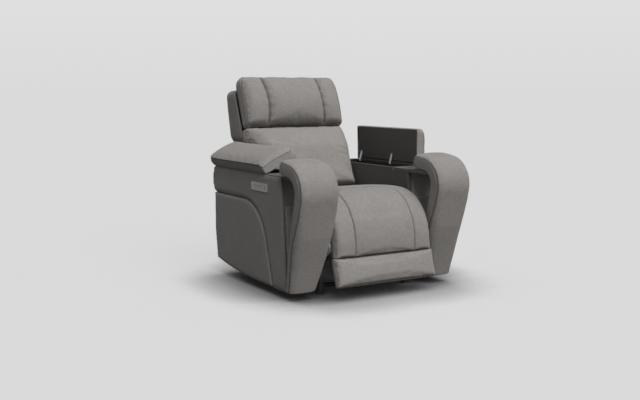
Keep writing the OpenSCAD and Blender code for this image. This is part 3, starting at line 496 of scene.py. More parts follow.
class Wires:
    """Short ways to add and join shader nodes in one tree."""

    def __init__(self, tree: Tree) -> None:
        """Keeps the node tree of a material or a group."""
        self.tree = tree

    def feed(self, node: Node, values: Mapping[str | int, object]) -> Node:
        """Joins an output to each named input, or sets the input's value.

        Args:
            node: The node with the inputs.
            values: A socket or a plain value for each input.

        Returns:
            The node.
        """
        for key, value in values.items():
            if isinstance(value, Socket):
                self.tree.links.new(value, node.inputs[key])
            else:
                node.inputs[key].default_value = value
        return node

    def add(self, kind: str, values: Mapping[str | int, object] | None = None, **settings: object) -> Node:
        """Adds a node.

        Args:
            kind: The node's type name, without ShaderNode.
            values: What goes into its inputs.
            settings: Properties to set on it.

        Returns:
            The node.
        """
        node = self.tree.nodes.new(f"ShaderNode{kind}")
        for key, value in settings.items():
            setattr(node, key, value)
        return self.feed(node, values or {})

    def calc(self, operation: str, first: object, second: object = 0.0) -> Socket:
        """Adds a maths node and returns its output."""
        return self.add("Math", {0: first, 1: second}, operation=operation).outputs[0]

    def noise(self, vector: object, scale: object, detail: float, rough: float = 0.5) -> Socket:
        """Adds a noise texture and returns its factor."""
        values = {"Vector": vector, "Scale": scale, "Detail": detail, "Roughness": rough}
        return self.add("TexNoise", values).outputs["Fac"]

    def span(self, value: object, low: float, high: float, to_low: float, to_high: float) -> Socket:
        """Maps the range low to high on to the range to_low to to_high."""
        return self.add("MapRange", {0: value, 1: low, 2: high, 3: to_low, 4: to_high}).outputs[0]

    def mix(self, factor: object, first: object, second: object) -> Socket:
        """Mixes two colours, given as sockets or as red, green and blue."""
        first, second = (c if isinstance(c, Socket) else (*c, 1) for c in (first, second))
        return self.add("Mix", {"Factor": factor, 6: first, 7: second}, data_type="RGBA").outputs[2]

    def scaled(self, vector: object, by: object) -> Socket:
        """Scales coordinates unevenly."""
        return self.add("VectorMath", {0: vector, 1: by}, operation="MULTIPLY").outputs[0]

    def parts(self, vector: Socket) -> list[Socket]:
        """Takes a vector apart."""
        return list(self.add("SeparateXYZ", {0: vector}).outputs)


def new_group(
    name: str, inputs: Sequence[tuple[str, str, object]], outputs: Sequence[tuple[str, str]]
) -> tuple[Tree, Wires, Mapping[str, Socket], Node]:
    """Starts a shader node group.

    Args:
        name: Its name.
        inputs: Name, kind and default of each input.
        outputs: Name and kind of each output.

    Returns:
        The group, its wires, the values that come in and its output node.
    """
    tree = bpy.data.node_groups.new(name, "ShaderNodeTree")
    for label, kind, default in inputs:
        socket = tree.interface.new_socket(name=label, in_out="INPUT", socket_type=kind)
        if default is not None:
            socket.default_value = default
    for label, kind in outputs:
        tree.interface.new_socket(name=label, in_out="OUTPUT", socket_type=kind)
    given, result = (tree.nodes.new(f"NodeGroup{end}") for end in ("Input", "Output"))
    return tree, Wires(tree), given.outputs, result


class Effects:
    """The node groups that several finishes share, each built once."""

    def __init__(self) -> None:
        """Builds the groups."""
        self.weave = self.build_weave()
        self.grain = self.build_grain()

    @staticmethod
    def build_weave() -> Tree:
        """A plain weave of flecked yarn, with painted shade along its seams.

        Returns:
            The group: yarn colour, height of the threads and roughness.
        """
        tree, w, given, result = new_group(
            "flecked_plain_weave",
            [
                ("Coordinate", VECTOR, None),
                ("Yarn", COLOUR, (0.3, 0.3, 0.3, 1)),
                ("Thread", FLOAT, THREAD),
                ("Fleck", FLOAT, 0.2),
                ("Seam", FLOAT, 0.0),
            ],
            [("Color", COLOUR), ("Height", FLOAT), ("Roughness", FLOAT)],
        )
        at = given["Coordinate"]
        turn = w.calc("DIVIDE", math.pi, given["Thread"])
        u, v = (w.calc("SINE", w.calc("MULTIPLY", part, turn)) for part in w.parts(at)[:2])
        over = w.span(w.calc("MULTIPLY", u, v), -0.25, 0.25, 0.0, 1.0)
        warp = w.calc("MULTIPLY", w.calc("ABSOLUTE", u), over)
        weft = w.calc("MULTIPLY", w.calc("ABSOLUTE", v), w.calc("SUBTRACT", 1.0, over))
        height = w.calc("ADD", warp, weft)

        def streaks(long: float, short: float, rough: float) -> Socket:
            """Flecks that run both ways of the cloth, about 0."""
            both = (w.noise(w.scaled(at, by), 1.0, 2.0, rough) for by in ((long, short, 1.0), (short, long, 1.0)))
            return w.calc("ADD", *(w.calc("SUBTRACT", one, 0.5) for one in both))

        fine, broad = streaks(90.0, 620.0, 0.6), streaks(26.0, 240.0, 0.55)
        cloud = w.calc("MULTIPLY", w.calc("SUBTRACT", w.noise(at, 9.0, 2.0), 0.5), 0.8)
        flecks = w.calc("MULTIPLY", w.calc("ADD", fine, broad), 2.2)
        tone = w.calc("MULTIPLY", w.calc("ADD", flecks, cloud), given["Fleck"])
        thread = w.calc("MULTIPLY", w.calc("SUBTRACT", height, 0.55), 0.22)
        level = w.calc("ADD", w.calc("ADD", 1.0, tone), thread)
        # painted shade: the yarn is darkened along the sewn lines
        level = w.calc("MULTIPLY", level, w.calc("SUBTRACT", 1.0, w.calc("MULTIPLY", given["Seam"], 0.55)))
        shade = w.add("VectorMath", {0: given["Yarn"], "Scale": level}, operation="SCALE")
        relief = w.calc("ADD", height, w.calc("MULTIPLY", fine, 0.6))
        dull = w.span(height, 0.0, 1.0, 0.98, 0.86)
        w.feed(result, {"Color": shade.outputs[0], "Height": relief, "Roughness": dull})
        return tree

    @staticmethod
    def build_grain() -> Tree:
        """Fine moulded or rolled grain with a little unevenness and light wear at edges.

        Returns:
            The group: colour, roughness and height.
        """
        tree, w, given, result = new_group(
            "fine_grain",
            [
                ("Coordinate", VECTOR, None),
                ("Base", COLOUR, (0.1, 0.1, 0.1, 1)),
                ("Worn", COLOUR, (0.2, 0.2, 0.2, 1)),
                ("Scale", FLOAT, 900.0),
                ("Stretch", VECTOR, (1.0, 1.0, 1.0)),
                ("Dull", FLOAT, 0.5),
                ("Spread", FLOAT, 0.1),
            ],
            [("Color", COLOUR), ("Roughness", FLOAT), ("Height", FLOAT)],
        )
        fine = w.noise(w.scaled(given["Coordinate"], given["Stretch"]), given["Scale"], 2.0)
        smear = w.noise(given["Coordinate"], 14.0, 4.0, 0.6)
        edges = w.span(w.add("NewGeometry").outputs["Pointiness"], 0.52, 0.62, 0.0, 0.55)
        tone = w.mix(w.span(smear, 0.3, 0.7, 0.0, 0.25), given["Base"], given["Worn"])
        uneven = w.calc("SUBTRACT", w.calc("ADD", smear, w.calc("MULTIPLY", fine, 0.6)), 0.8)
        dull = w.calc("ADD", given["Dull"], w.calc("MULTIPLY", uneven, given["Spread"]))
        w.feed(result, {"Color": w.mix(edges, tone, given["Worn"]), "Roughness": dull, "Height": fine})
        return tree


# ---------------------------------------------------------------- finishes


def start_material(name: str) -> tuple[Material, Wires, Node]:
    """Starts a node material.

    Args:
        name: Its name.

    Returns:
        The material, its wires and its surface shader.
    """
    made = bpy.data.materials.new(name)
    made.use_nodes = True
    return made, Wires(made.node_tree), made.node_tree.nodes["Principled BSDF"]


def bumped(wires: Wires, height: Socket, distance: float, strength: float) -> Socket:
    """A normal raised by a height, where a height of 1 is a distance in metres."""
    values = {"Strength": strength, "Distance": distance, "Height": height}
    return wires.add("Bump", values).outputs[0]


@dataclass(frozen=True)
class WovenCloth:
    """Flat woven upholstery cloth in a flecked yarn."""

    name: str
    yarn: Colour
    fleck: float = 0.2
    sheen: float = 0.12
    relief: float = 0.35

    def laid(self, w: Wires) -> Mapping[str, object]:
        """Where the weave lies, the painted shade along its seams, and its yarn."""
        weave, seam = (w.add("Attribute", attribute_name=name) for name in ("weave", "seam"))
        return {"Coordinate": weave.outputs["Vector"], "Seam": seam.outputs["Fac"], "Yarn": (*self.yarn, 1)}

    def build(self, effects: Effects) -> Material:
        """Makes the material.

        Args:
            effects: The shared node groups.

        Returns:
            The material.
        """
        made, w, shader = start_material(self.name)
        cloth = w.add("Group", node_tree=effects.weave)
        w.feed(cloth, {**self.laid(w), "Fleck": self.fleck})
        values = {
            "Base Color": cloth.outputs["Color"],
            "Roughness": cloth.outputs["Roughness"],
            "Specular IOR Level": 0.18,
            "Sheen Weight": self.sheen,
            "Sheen Roughness": 0.55,
            "Normal": bumped(w, cloth.outputs["Height"], 0.0005, self.relief),
        }
        w.feed(shader, values)
        return made


@dataclass(frozen=True)
class ArmClothPaintedLightAndShade(WovenCloth):
    """The arm body's cover: the upholstery cloth painted lighter at its front, as painted light, and darker on its
    inner side, as painted shade.
    """

    lining: Colour = (0.104, 0.098, 0.094)

    def laid(self, w: Wires) -> Mapping[str, object]:
        """Where the weave lies on the sides and the ends, and its yarn, lighter at the front and darker elsewhere as
        painted light and shade.

        Args:
            w: The material's wires.

        Returns:
            What goes into the weave.
        """
        where = w.add("TexCoord").outputs
        x, y, z = w.parts(where["Object"])
        facing_x, facing_y, _ = w.parts(where["Normal"])
        sideways = w.calc("GREATER_THAN", w.calc("ABSOLUTE", facing_x), 0.6)
        across = w.add("Mix", {"Factor": sideways, 2: x, 3: y}, data_type="FLOAT")
        at = w.add("CombineXYZ", {0: across.outputs[0], 1: z})
        # painted shade: what doesn't face the front, and the side next to the seat, gets the darker yarn
        beside = w.span(w.calc("ABSOLUTE", x), 0.312, 0.322, 1.0, 0.0)
        inner = w.calc("MAXIMUM", w.span(facing_y, -0.7, -0.5, 0.0, 1.0), beside)
        return {"Coordinate": at.outputs[0], "Yarn": w.mix(inner, self.yarn, self.lining)}


@dataclass(frozen=True)
class Grained:
    """A hard finish: plastic, plated or painted steel, or a lined board."""

    name: str
    base: Colour
    worn: Colour
    dull: float
    metal: float = 0.0
    scale: float = 900.0
    stretch: Triple = (1.0, 1.0, 1.0)
    spread: float = 0.12
    coat: float = 0.0

    def build(self, effects: Effects) -> Material:
        """Makes the material.

        Args:
            effects: The shared node groups.

        Returns:
            The material.
        """
        made, w, shader = start_material(self.name)
        given = {
            "Coordinate": w.add("TexCoord").outputs["Object"],
            "Base": (*self.base, 1),
            "Worn": (*self.worn, 1),
            "Scale": self.scale,
            "Stretch": self.stretch,
            "Dull": self.dull,
            "Spread": self.spread,
        }
        grain = w.feed(w.add("Group", node_tree=effects.grain), given)
        values = {
            "Base Color": grain.outputs["Color"],
            "Roughness": grain.outputs["Roughness"],
            "Metallic": self.metal,
            "Coat Weight": self.coat,
            "Normal": bumped(w, grain.outputs["Height"], 0.00008, 0.5),
        }
        w.feed(shader, values)
        return made


@dataclass(frozen=True)
class BirchPly:
    """Bare birch plywood: pale face grain and banded edges."""

    name: str = "birch_plywood"
    light: Colour = (0.55, 0.39, 0.22)
    dark: Colour = (0.36, 0.23, 0.12)

    def build(self, effects: Effects) -> Material:
        """Makes the material.

        Args:
            effects: The shared node groups, which bare wood doesn't need.

        Returns:
            The material.
        """
        made, w, shader = start_material(self.name)
        at = w.add("TexCoord").outputs["Object"]
        figure = w.noise(w.scaled(at, (4.0, 60.0, 60.0)), 1.0, 5.0, 0.6)
        pore = w.noise(w.scaled(at, (30.0, 900.0, 900.0)), 1.0, 2.0, 0.5)
        tone = w.calc("ADD", w.span(figure, 0.3, 0.7, 0.0, 0.8), w.span(pore, 0.55, 0.8, 0.0, 0.3))
        values = {
            "Base Color": w.mix(tone, self.light, self.dark),
            "Roughness": w.span(pore, 0.3, 0.7, 0.62, 0.78),
            "Normal": bumped(w, pore, 0.0002, 0.4),
        }
        w.feed(shader, values)
        return made


class Finish(Enum):
    """The finishes on this chair."""

    CLOTH = WovenCloth("grey_cloth", (0.262, 0.246, 0.234))
    # a lit copy of the cloth at the front and a shaded copy elsewhere: painted light and shade
    ARM_LINING = ArmClothPaintedLightAndShade("arm_cloth_painted_light_and_shade", (0.37, 0.35, 0.333), fleck=0.14, sheen=0.0, relief=0.3)
    # the upholstery cloth painted lighter for the shadowed front recess: painted light
    RECESS_CLOTH = WovenCloth("recess_cloth", (0.35, 0.33, 0.314))
    TRAY_CLOTH = WovenCloth("tray_cloth", (0.1, 0.095, 0.091), fleck=0.14)
    BOARD = Grained("lid_board_cloth", (0.078, 0.073, 0.07), (0.09, 0.085, 0.082), 0.85, scale=700.0)
    PLASTIC = Grained("dark_moulding", (0.012, 0.012, 0.013), (0.03, 0.03, 0.031), 0.52)
    SILVER = Grained(
        "satin_silver", (0.2, 0.192, 0.188), (0.35, 0.34, 0.335), 0.42, 0.7, 1400.0, stretch=(1.0, 0.06, 1.0)
    )
    CUP = Grained("cup_silver", (0.55, 0.55, 0.56), (0.75, 0.75, 0.75), 0.3, 1.0, stretch=(1.0, 1.0, 0.05))
    KEY = Grained("button_silver", (0.2, 0.194, 0.19), (0.3, 0.29, 0.28), 0.42, 0.6, 1200.0)
    ZINC = Grained("zinc_plate", (0.5, 0.51, 0.52), (0.62, 0.62, 0.62), 0.4, 1.0, 500.0, spread=0.25)
    STAY = Grained("bright_zinc", (0.78, 0.78, 0.77), (0.85, 0.85, 0.85), 0.5, 0.55, 500.0)
    BLACK_STEEL = Grained(
        "black_coated_steel", (0.014, 0.014, 0.015), (0.05, 0.05, 0.052), 0.45, scale=1100.0, coat=0.1
    )
    PLY = BirchPly()


class Wardrobe:
    """Builds each finish the first time a piece asks for it."""

    def __init__(self) -> None:
        """Builds the shared effects."""
        self.effects = Effects()
        self.made: dict[Finish, Material] = {}

    def dress(self, piece: Piece, finish: Finish) -> None:
        """Gives a whole piece one finish.

        Args:
            piece: The mesh object.
            finish: The finish.
        """
        if finish not in self.made:
            self.made[finish] = finish.value.build(self.effects)
        if len(piece.material_slots) == 0:
            piece.data.materials.append(self.made[finish])
        for slot in piece.material_slots:
            slot.link = "OBJECT"
            slot.material = self.made[finish]


@dataclass
class Assembly:
    """What every sub-assembly shares: the finishes and ways to enter its pieces."""

    wardrobe: Wardrobe

    def enter(
        self,
        piece: Piece,
        body: str,
        stands_for: Sequence[str],
        fill: float | None = None,
        finish: Finish = Finish.CLOTH,
    ) -> None:
        """Dresses an upholstered piece and fixes it to its body.

        Args:
            piece: The piece.
            body: The body that it rides on, or nothing for one that is left unattached.
            stands_for: CAD nodes that it replaces.
            fill: How full a padded piece is; not used.
            finish: Its finish.
        """
        self.wardrobe.dress(piece, finish)
        if body:
            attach(piece, body)
        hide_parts(*stands_for)
        LOG.info("%s: %d vertices on %s", piece.name, len(piece.data.vertices), body or "two bodies")

    @staticmethod
    def subdivide(piece: Piece) -> None:
        """Adds a subdivision surface.

        Args:
            piece: The mesh.
        """
        soft = piece.modifiers.new("soft", "SUBSURF")
        soft.levels = soft.render_levels = 1
        soft.use_limit_surface = False

    def sew(
        self, pad: Pad, cap: float, pressure: float = 3.0, slack: float = 0.012, pressed: float = 0.0
    ) -> Piece:
        """Builds a pad and fills it.

        Args:
            pad: The pad.
            cap: The most that the filling moves a point, in metres.
            pressure: Pressure of the filling.
            slack: How much larger the cover is cut than the form.
            pressed: How far its seams are drawn in, in metres.

        Returns:
            The padded piece.
        """
        piece = pad.build()
        swell(piece, pressure, cap, slack)
        if pressed:
            depth = stored(piece, "seam") * pressed
            set_coordinates(piece, coordinates(piece) - normals(piece) * depth[:, None])
        self.subdivide(piece)
        return piece

    def keep(self, name: str, finish: Finish) -> Piece:
        """Dresses a CAD node that keeps its shape.

        Args:
            name: The node's name.
            finish: Its finish.

        Returns:
            The node.
        """
        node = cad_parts[name]
        self.wardrobe.dress(node, finish)
        LOG.info("%s: %s", name, finish.name.lower())
        return node

    def cover(
        self,
        node: str,
        body: str,
        voxel: float,
        passes: int,
        padding: Padding | None = None,
        finish: Finish = Finish.CLOTH,
    ) -> None:
        """Makes and enters an upholstered copy of a CAD form.

        Args:
            node: The CAD node.
            body: The body that it rides on.
            voxel: Size of the remesh cells, in metres.
            passes: How many times the surface is relaxed.
            padding: How its outer face is rounded off, if it is.
            finish: Its finish.
        """
        piece = softened(node, voxel, passes)
        if padding:
            padding.apply(piece)
        self.enter(piece, body, (node,), finish=finish)


# ---------------------------------------------------------------- seat and footrest


@dataclass
class Seat(Assembly):
    """The waterfall seat that runs down to the footrest, and the footrest's lower panel.

    Pairs of numbers are y and z in the side view. A place on the waterfall is told by
    its distance down the sewn edge, from the rear.
    """

    half: float = 0.283
    rear: float = 0.106
    cushion_rear: float = 0.108
    cushion_z: float = 0.4144
    rear_drop: float = 0.012
    rear_roll: float = 0.022
    seam_z: float = 0.496
    fall: float = 0.050
    nose: float = -0.288
    nose_power: float = 2.27
    apron: Pair = (-0.545, 0.212)
    toe: Pair = (-0.585, 0.076)
    seam_x: float = 0.177
    seam_y: float = -0.322
    seam_radius: float = 0.085
    crown: float = 0.022
    crown_power: float = 2.6
    puff: float = 0.003
    edge_drop: float = 0.015
    side_roll: float = 0.024
    end_roll: float = 0.014
    axis: Pair = (-0.483, 0.448)
    bend_way: Pair = (-0.36, -0.93)
    pad_depth: float = 0.035
    panel_gap: float = 0.003
    panel_wider: float = 0.008
    panel_crown: float = 0.010
    panel_drop: float = 0.016
    panel_rolls: Pair = (0.020, 0.016)
    split: Array = field(init=False)
    chord: Array = field(init=False)
    front: Array = field(init=False)
    edge_line: Array = field(init=False)
    foot_line: Array = field(init=False)
    run: Array = field(init=False)
    split_run: float = field(init=False)
    top_run: float = field(init=False)

    def __post_init__(self) -> None:
        """Lays out the side view: the seam line and the line it stands on."""
        ys = np.linspace(self.rear, self.nose, 60)
        rolled = self.rear_drop * (1 - roll(self.cushion_rear - ys, self.rear_roll))
        zs = self.seam_z - self.fall * self.rearward(ys) ** 1.5 - rolled
        edge = np.array([*zip(ys, zs), *(self.nose_at(a) for a in np.linspace(1.5, 90, 90))])
        self.split = np.array(self.nose_at(45))
        self.chord = unit(self.toe - self.split)
        self.front = np.array([self.chord[1], -self.chord[0]])
        lengths = np.concatenate([[0], np.cumsum(np.linalg.norm(np.diff(edge, axis=0), axis=1))])
        self.run = np.linspace(0, lengths[-1], 240)
        feet = np.array([self.foot_of(point) for point in edge])
        self.edge_line, self.foot_line = (sampled(self.run, lengths, line) for line in (edge, feet))
        self.split_run, self.top_run = (
            float(np.interp(-y, -edge[:, 0], lengths)) for y in (self.split[0], self.seam_y)
        )

    def nose_at(self, angle: float) -> Pair:
        """A point of the waterfall's front.

        Args:
            angle: 0 on the flat seat and 90 at the sewn line, in degrees.

        Returns:
            Its y and z.
        """
        turn, power = math.radians(angle), 2 / self.nose_power
        y, z = self.apron
        return (
            self.nose + (y - self.nose) * math.sin(turn) ** power,
            z + (self.seam_z - z) * math.cos(turn) ** power,
        )

    def rearward(self, y: Array) -> Array:
        """How far back a place lies: 0 at the nose and 1 at the cushion's rear."""
        return np.clip((y - self.nose) / (self.cushion_rear - self.nose), 0, 1)

    def foot_of(self, point: Array) -> Array:
        """Where a point of the seam line stands: under the cushion, under the nose or on the board.

        Args:
            point: The point's y and z.

        Returns:
            The foot's y and z.
        """
        gap, reach, fade = 0.006, 0.16, 0.05
        y = point[0]
        if y >= self.nose:
            return np.array([y, self.cushion_z])
        s = (point - self.split) @ self.chord
        if s < 0:
            share = (self.nose - y) / (self.nose - self.split[0])
            return np.array([self.nose - gap - reach * share, self.cushion_z])
        blend = min(1.0, s / fade)
        low = np.array([self.nose - gap - reach, self.cushion_z])
        board = self.split + max(s, 0.012) * self.chord - self.pad_depth * self.front
        return low * (1 - blend) + board * blend

    def place(self, x: Array, along: Array, height: Array) -> Array:
        """Points of the waterfall.

        Args:
            x: Places across.
            along: Distance down the waterfall.
            height: Height over the foot line.

        Returns:
            The points.
        """
        top, foot = (sampled(along, self.run, line) for line in (self.edge_line, self.foot_line))
        return np.column_stack([x, foot + unit(top - foot) * height[:, None]])

    def seam_distance(self, x: Array, along: Array) -> Array:
        """Distance from the sewn line, an upside-down U.

        Args:
            x: Places across.
            along: Distance down the waterfall.

        Returns:
            The distance, in metres, negative inside the U.
        """
        radius = self.seam_radius
        dx = np.abs(x) - (self.seam_x - radius)
        dy = (self.top_run + radius) - along
        corner = np.hypot(np.maximum(dx, 0), np.maximum(dy, 0)) - radius
        return np.where((dx > 0) | (dy > 0), corner, np.maximum(dx - radius, dy - radius))

    def face(self, x: Array, along: Array) -> Array:
        """Height of the cover over the foot line.

        Args:
            x: Places across.
            along: Distance down the waterfall.

        Returns:
            The height.
        """
        end = self.run[-1]
        thickness = np.interp(along, self.run, np.linalg.norm(self.edge_line - self.foot_line, axis=1))
        back = self.rearward(np.interp(along, self.run, self.edge_line[:, 0]))
        down = np.clip((along - self.split_run) / (end - self.split_run), 0, 1)
        across = 1 - np.abs(x / self.half) ** self.crown_power
        crown = self.crown * (1 - 0.65 * back) * (1 - 0.62 * down) * across
        beside = 1 - np.exp(-np.abs(self.seam_distance(x, along)) / 0.02)
        puff = self.puff * beside * roll(along, 0.06) * np.clip(0.25 + down * 3, 0, 1)
        ends = np.minimum(along + 0.004, end - along + 0.006)
        edge = rim(self.half - np.abs(x), self.side_roll, ends, self.end_roll)
        return thickness + crown + puff + 0.0012 * wander(x, along, 0.09, 3.1) - self.edge_drop * edge

    def build_waterfall(self) -> None:
        """Makes the waterfall seat."""
        pad = Pad(
            "seat_waterfall",
            graded(-self.half, self.half, GRID_STEP, (-self.seam_x, self.seam_x), 0.010),
            graded(0.0, float(self.run[-1]), GRID_STEP, (self.top_run,), 0.010),
            self.place,
            self.face,
            rows=5,
            corner=(0.02, 0.004),
            seam=self.seam_distance,
            seam_width=0.0032,
        )
        piece = self.sew(pad, cap=0.004, pressed=0.0018)
        mid, d = np.array(self.axis), np.array(self.bend_way)
        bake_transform(piece)
        self.enter(piece, "", ("seat_cushion", "leg_pad"), 0.7)

    def build_panel(self) -> None:
        """Makes the footrest's lower panel."""
        start = float((self.apron - self.split) @ self.chord) + self.panel_gap
        span = float(np.linalg.norm(self.toe - self.split)) - start
        a, depth = self.half + self.panel_wider, self.pad_depth

        def place(x: Array, along: Array, height: Array) -> Array:
            """Points of the panel."""
            out = self.split + (start + along)[:, None] * self.chord + (height - depth)[:, None] * self.front
            return np.column_stack([x, out])

        def face(x: Array, along: Array) -> Array:
            """Height of the cover over the board.

            Args:
                x: Places across.
                along: Distance down the panel.

            Returns:
                The height.
            """
            f = along / span
            body = self.panel_crown * (1 - np.abs(x / a) ** self.crown_power)
            body = body * np.sin(np.pi * np.clip(f * 0.94 + 0.03, 0, 1)) ** 0.5
            side, end = self.panel_rolls
            edge = rim(a - np.abs(x), side, np.minimum(along, span - along), end)
            lumps = 0.001 * wander(x, along, 0.07, 8.4)
            return depth + 0.006 - 0.003 * f + body - self.panel_drop * edge + lumps

        across, down = graded(-a, a, 0.010), graded(0, span, 0.008)
        pad = Pad("footrest_panel_cover", across, down, place, face, rows=5, bulge=0.002, corner=(0.004, 0.010))
        self.enter(self.sew(pad, cap=0.005), "footrest", ("footrest_pad",), 0.7)

    def build(self) -> None:
        """Makes the seat's pieces."""
        self.build_waterfall()
        self.build_panel()


# ---------------------------------------------------------------- back and headrest


@dataclass
class Back(Assembly):
    """The back cushion, the upholstered shell behind it and the headrest.

    `lumbar` is where the cushion starts to thicken downwards and over what length, and
    `grooves` are the depths and widths that make up one of the headrest's channels.
    """

    lean: float = math.radians(21.5)
    origin: Pair = (0.393, 0.729)
    half: float = 0.283
    low: float = -0.340
    top: float = 0.048
    thick_top: float = 0.095
    thick: float = 0.167
    crown: float = 0.035
    overhang: float = 0.005
    lumbar: Pair = (0.030, 0.160)
    side_drop: float = 0.056
    side_roll: float = 0.062
    head_half: float = 0.306
    head_low: float = 0.063
    head_high: float = 0.351
    head_lift: float = 0.0204
    head_thick: float = 0.062
    head_crown: float = 0.046
    head_drop: float = 0.018
    head_roll: float = 0.044
    grooves: tuple[Pair, ...] = ((0.011, 0.008), (0.014, 0.034))
    seam_x: float = 0.177
    creases: tuple[Crease, ...] = (
        Crease((-0.255, -0.02), (-0.08, -0.055), 0.0040, 0.009),
        Crease((-0.262, -0.045), (-0.10, -0.10), 0.0036, 0.010),
        Crease((-0.268, -0.075), (-0.14, -0.15), 0.0030, 0.010),
        Crease((0.262, -0.150), (0.15, -0.118), 0.0042, 0.008),
        Crease((0.265, -0.178), (0.16, -0.160), 0.0036, 0.008),
        Crease((0.260, -0.120), (0.19, -0.085), 0.0028, 0.008),
        Crease((0.06, -0.19), (-0.12, -0.21), 0.0022, 0.014),
    )

    def place(self, x: Array, along: Array, height: Array) -> Array:
        """Points on the leaning back.

        Args:
            x: Places across.
            along: Distance up the slope.
            height: Distance forward of the dividing plane.

        Returns:
            The points.
        """
        up = np.array([math.sin(self.lean), math.cos(self.lean)])
        forward = np.array([-up[1], up[0]])
        return np.column_stack([x, self.origin + along[:, None] * up + height[:, None] * forward])

    def build_cushion(self) -> None:
        """Makes the back cushion with its pulls and creases, wider at the top."""
        half, low, top = self.half, self.low, self.top
        wider, flare = self.head_half + self.overhang - half, (top - low) / 4

        def place(x: Array, along: Array, height: Array) -> Array:
            """Points of the cushion."""
            return self.place(x / half * (half + wider * np.clip((along + 0.110) / flare, 0, 1)), along, height)

        def face(x: Array, along: Array) -> Array:
            """Height of the cover.

            Args:
                x: Places across.
                along: Distance up the slope.

            Returns:
                The height.
            """
            r = np.minimum(roll(along - low + 0.003, 0.030), roll(top - along + 0.003, 0.056))
            lumbar = ease(np.clip((self.lumbar[0] - along) / self.lumbar[1], 0, 1))
            body = (self.thick_top + (self.thick - self.thick_top) * lumbar) * (0.5 + 0.5 * r)
            body = body + 0.010 * r + self.crown * r * (1 - np.abs(x / half) ** 2.4)
            drop = (self.side_drop * r + 0.002) * (1 - roll(half - np.abs(x) + 0.0002, self.side_roll))
            dips = sum(crease.dip(x, along) for crease in self.creases) * r
            lumps = 0.0015 * wander(x, along, 0.10, 5.2) + 0.0006 * wander(x, along * 0.6, 0.03, 1.7)
            return body - drop - dips + lumps

        pad = Pad(
            "back_cushion_cover",
            graded(-half, half, 0.0095),
            graded(low, top, 0.0095),
            place,
            face,
            back=0.0004,
            rows=9,
            bulge=0.004,
            fullness=1.4,
            corner=(0.014, 0.010),
        )
        self.enter(self.sew(pad, cap=0.008, pressure=3.5), "back", ("back_cushion",), 0.65)

    def build_headrest(self) -> None:
        """Makes the headrest with its two deep sewn channels."""
        a, low, high = self.head_half - 0.006, self.head_low, self.head_high

        def share(along: Array) -> Array:
            """Height up the headrest, from 0 to 1."""
            return np.clip((along - low) / (high - low), 0, 1)

        def at_side(x: Array) -> Array:
            """Whether a place lies at the side edges."""
            return np.abs(x) > a * 0.93

        def channel(x: Array, along: Array) -> Array:
            """Distance from the nearer sewn channel."""
            return np.abs(np.abs(x) - (self.seam_x - 0.006 * np.sin(np.pi * share(along))))

        def place(x: Array, along: Array, height: Array) -> Array:
            """Points of the headrest, narrower at the top."""
            narrow = 1 + 0.006 / a - 0.026 / a * (1 - roll(high - along + 0.004, 0.08))
            return self.place(x * narrow + 0.003, along, height + self.head_lift)

        def face(x: Array, along: Array) -> Array:
            """Height of the cover.

            Args:
                x: Places across.
                along: Distance up the slope.

            Returns:
                The height.
            """
            f, d = share(along), channel(x, along)
            bow = np.sin(np.pi * f**0.85)
            r = np.minimum(roll(along - low + 0.002, 0.026), roll(high - along + 0.002, self.head_roll))
            body = self.head_thick * (0.45 + 0.55 * r) + 0.018 * bow + 0.003 * r
            body = body + self.head_crown * (0.35 + 0.65 * bow) * r * (1 - np.abs(x / a) ** 3.2)
            drop = (self.head_drop * r + 0.002) * (1 - roll(a - np.abs(x), self.head_roll))
            groove = sum(depth * np.exp(-((d / width) ** 2)) for depth, width in self.grooves) - 0.007
            groove *= np.clip(np.minimum(f, 1 - f) / 0.04, 0.25, 1)
            puckers = 0.0011 * np.sin(along / 0.0085 + 3 * np.sign(x)) * np.exp(-((d / 0.022) ** 2)) * r
            return body - drop - groove - puckers + 0.0012 * wander(x, along, 0.08, 2.2)

        pad = Pad(
            "headrest_pillow_cover",
            graded(-a, a, GRID_STEP, (-self.seam_x, self.seam_x), 0.016),
            graded(low, high, GRID_STEP),
            place,
            face,
            rows=9,
            bulge=lambda x, along: 0.003 + 0.009 * at_side(x),
            corner=(0.014, 0.034),
            seam=channel,
            seam_width=0.004,
            # the welt along the sides is held and darkened: painted shade in the side seams
            welt_and_painted_shade=lambda x, along: 0.9 * at_side(x) * np.clip((high - 0.02 - along) / 0.03, 0, 1),
        )
        self.enter(self.sew(pad, cap=0.007, pressed=0.0045), "headrest", ("headrest_pillow",), 0.75)

    def build(self) -> None:
        """Makes the back's pieces."""
        self.build_cushion()
        self.build_headrest()
        self.cover("back_shell", "back", 0.005, 8)
        self.cover("headrest_board", "headrest", 0.003, 3)


# ---------------------------------------------------------------- arms and lids


class Side(Enum):
    """The sitter's own sides."""

    LEFT = 1
    RIGHT = -1

    @property
    def word(self) -> str:
        """The side's word in node names."""
        return self.name.lower()


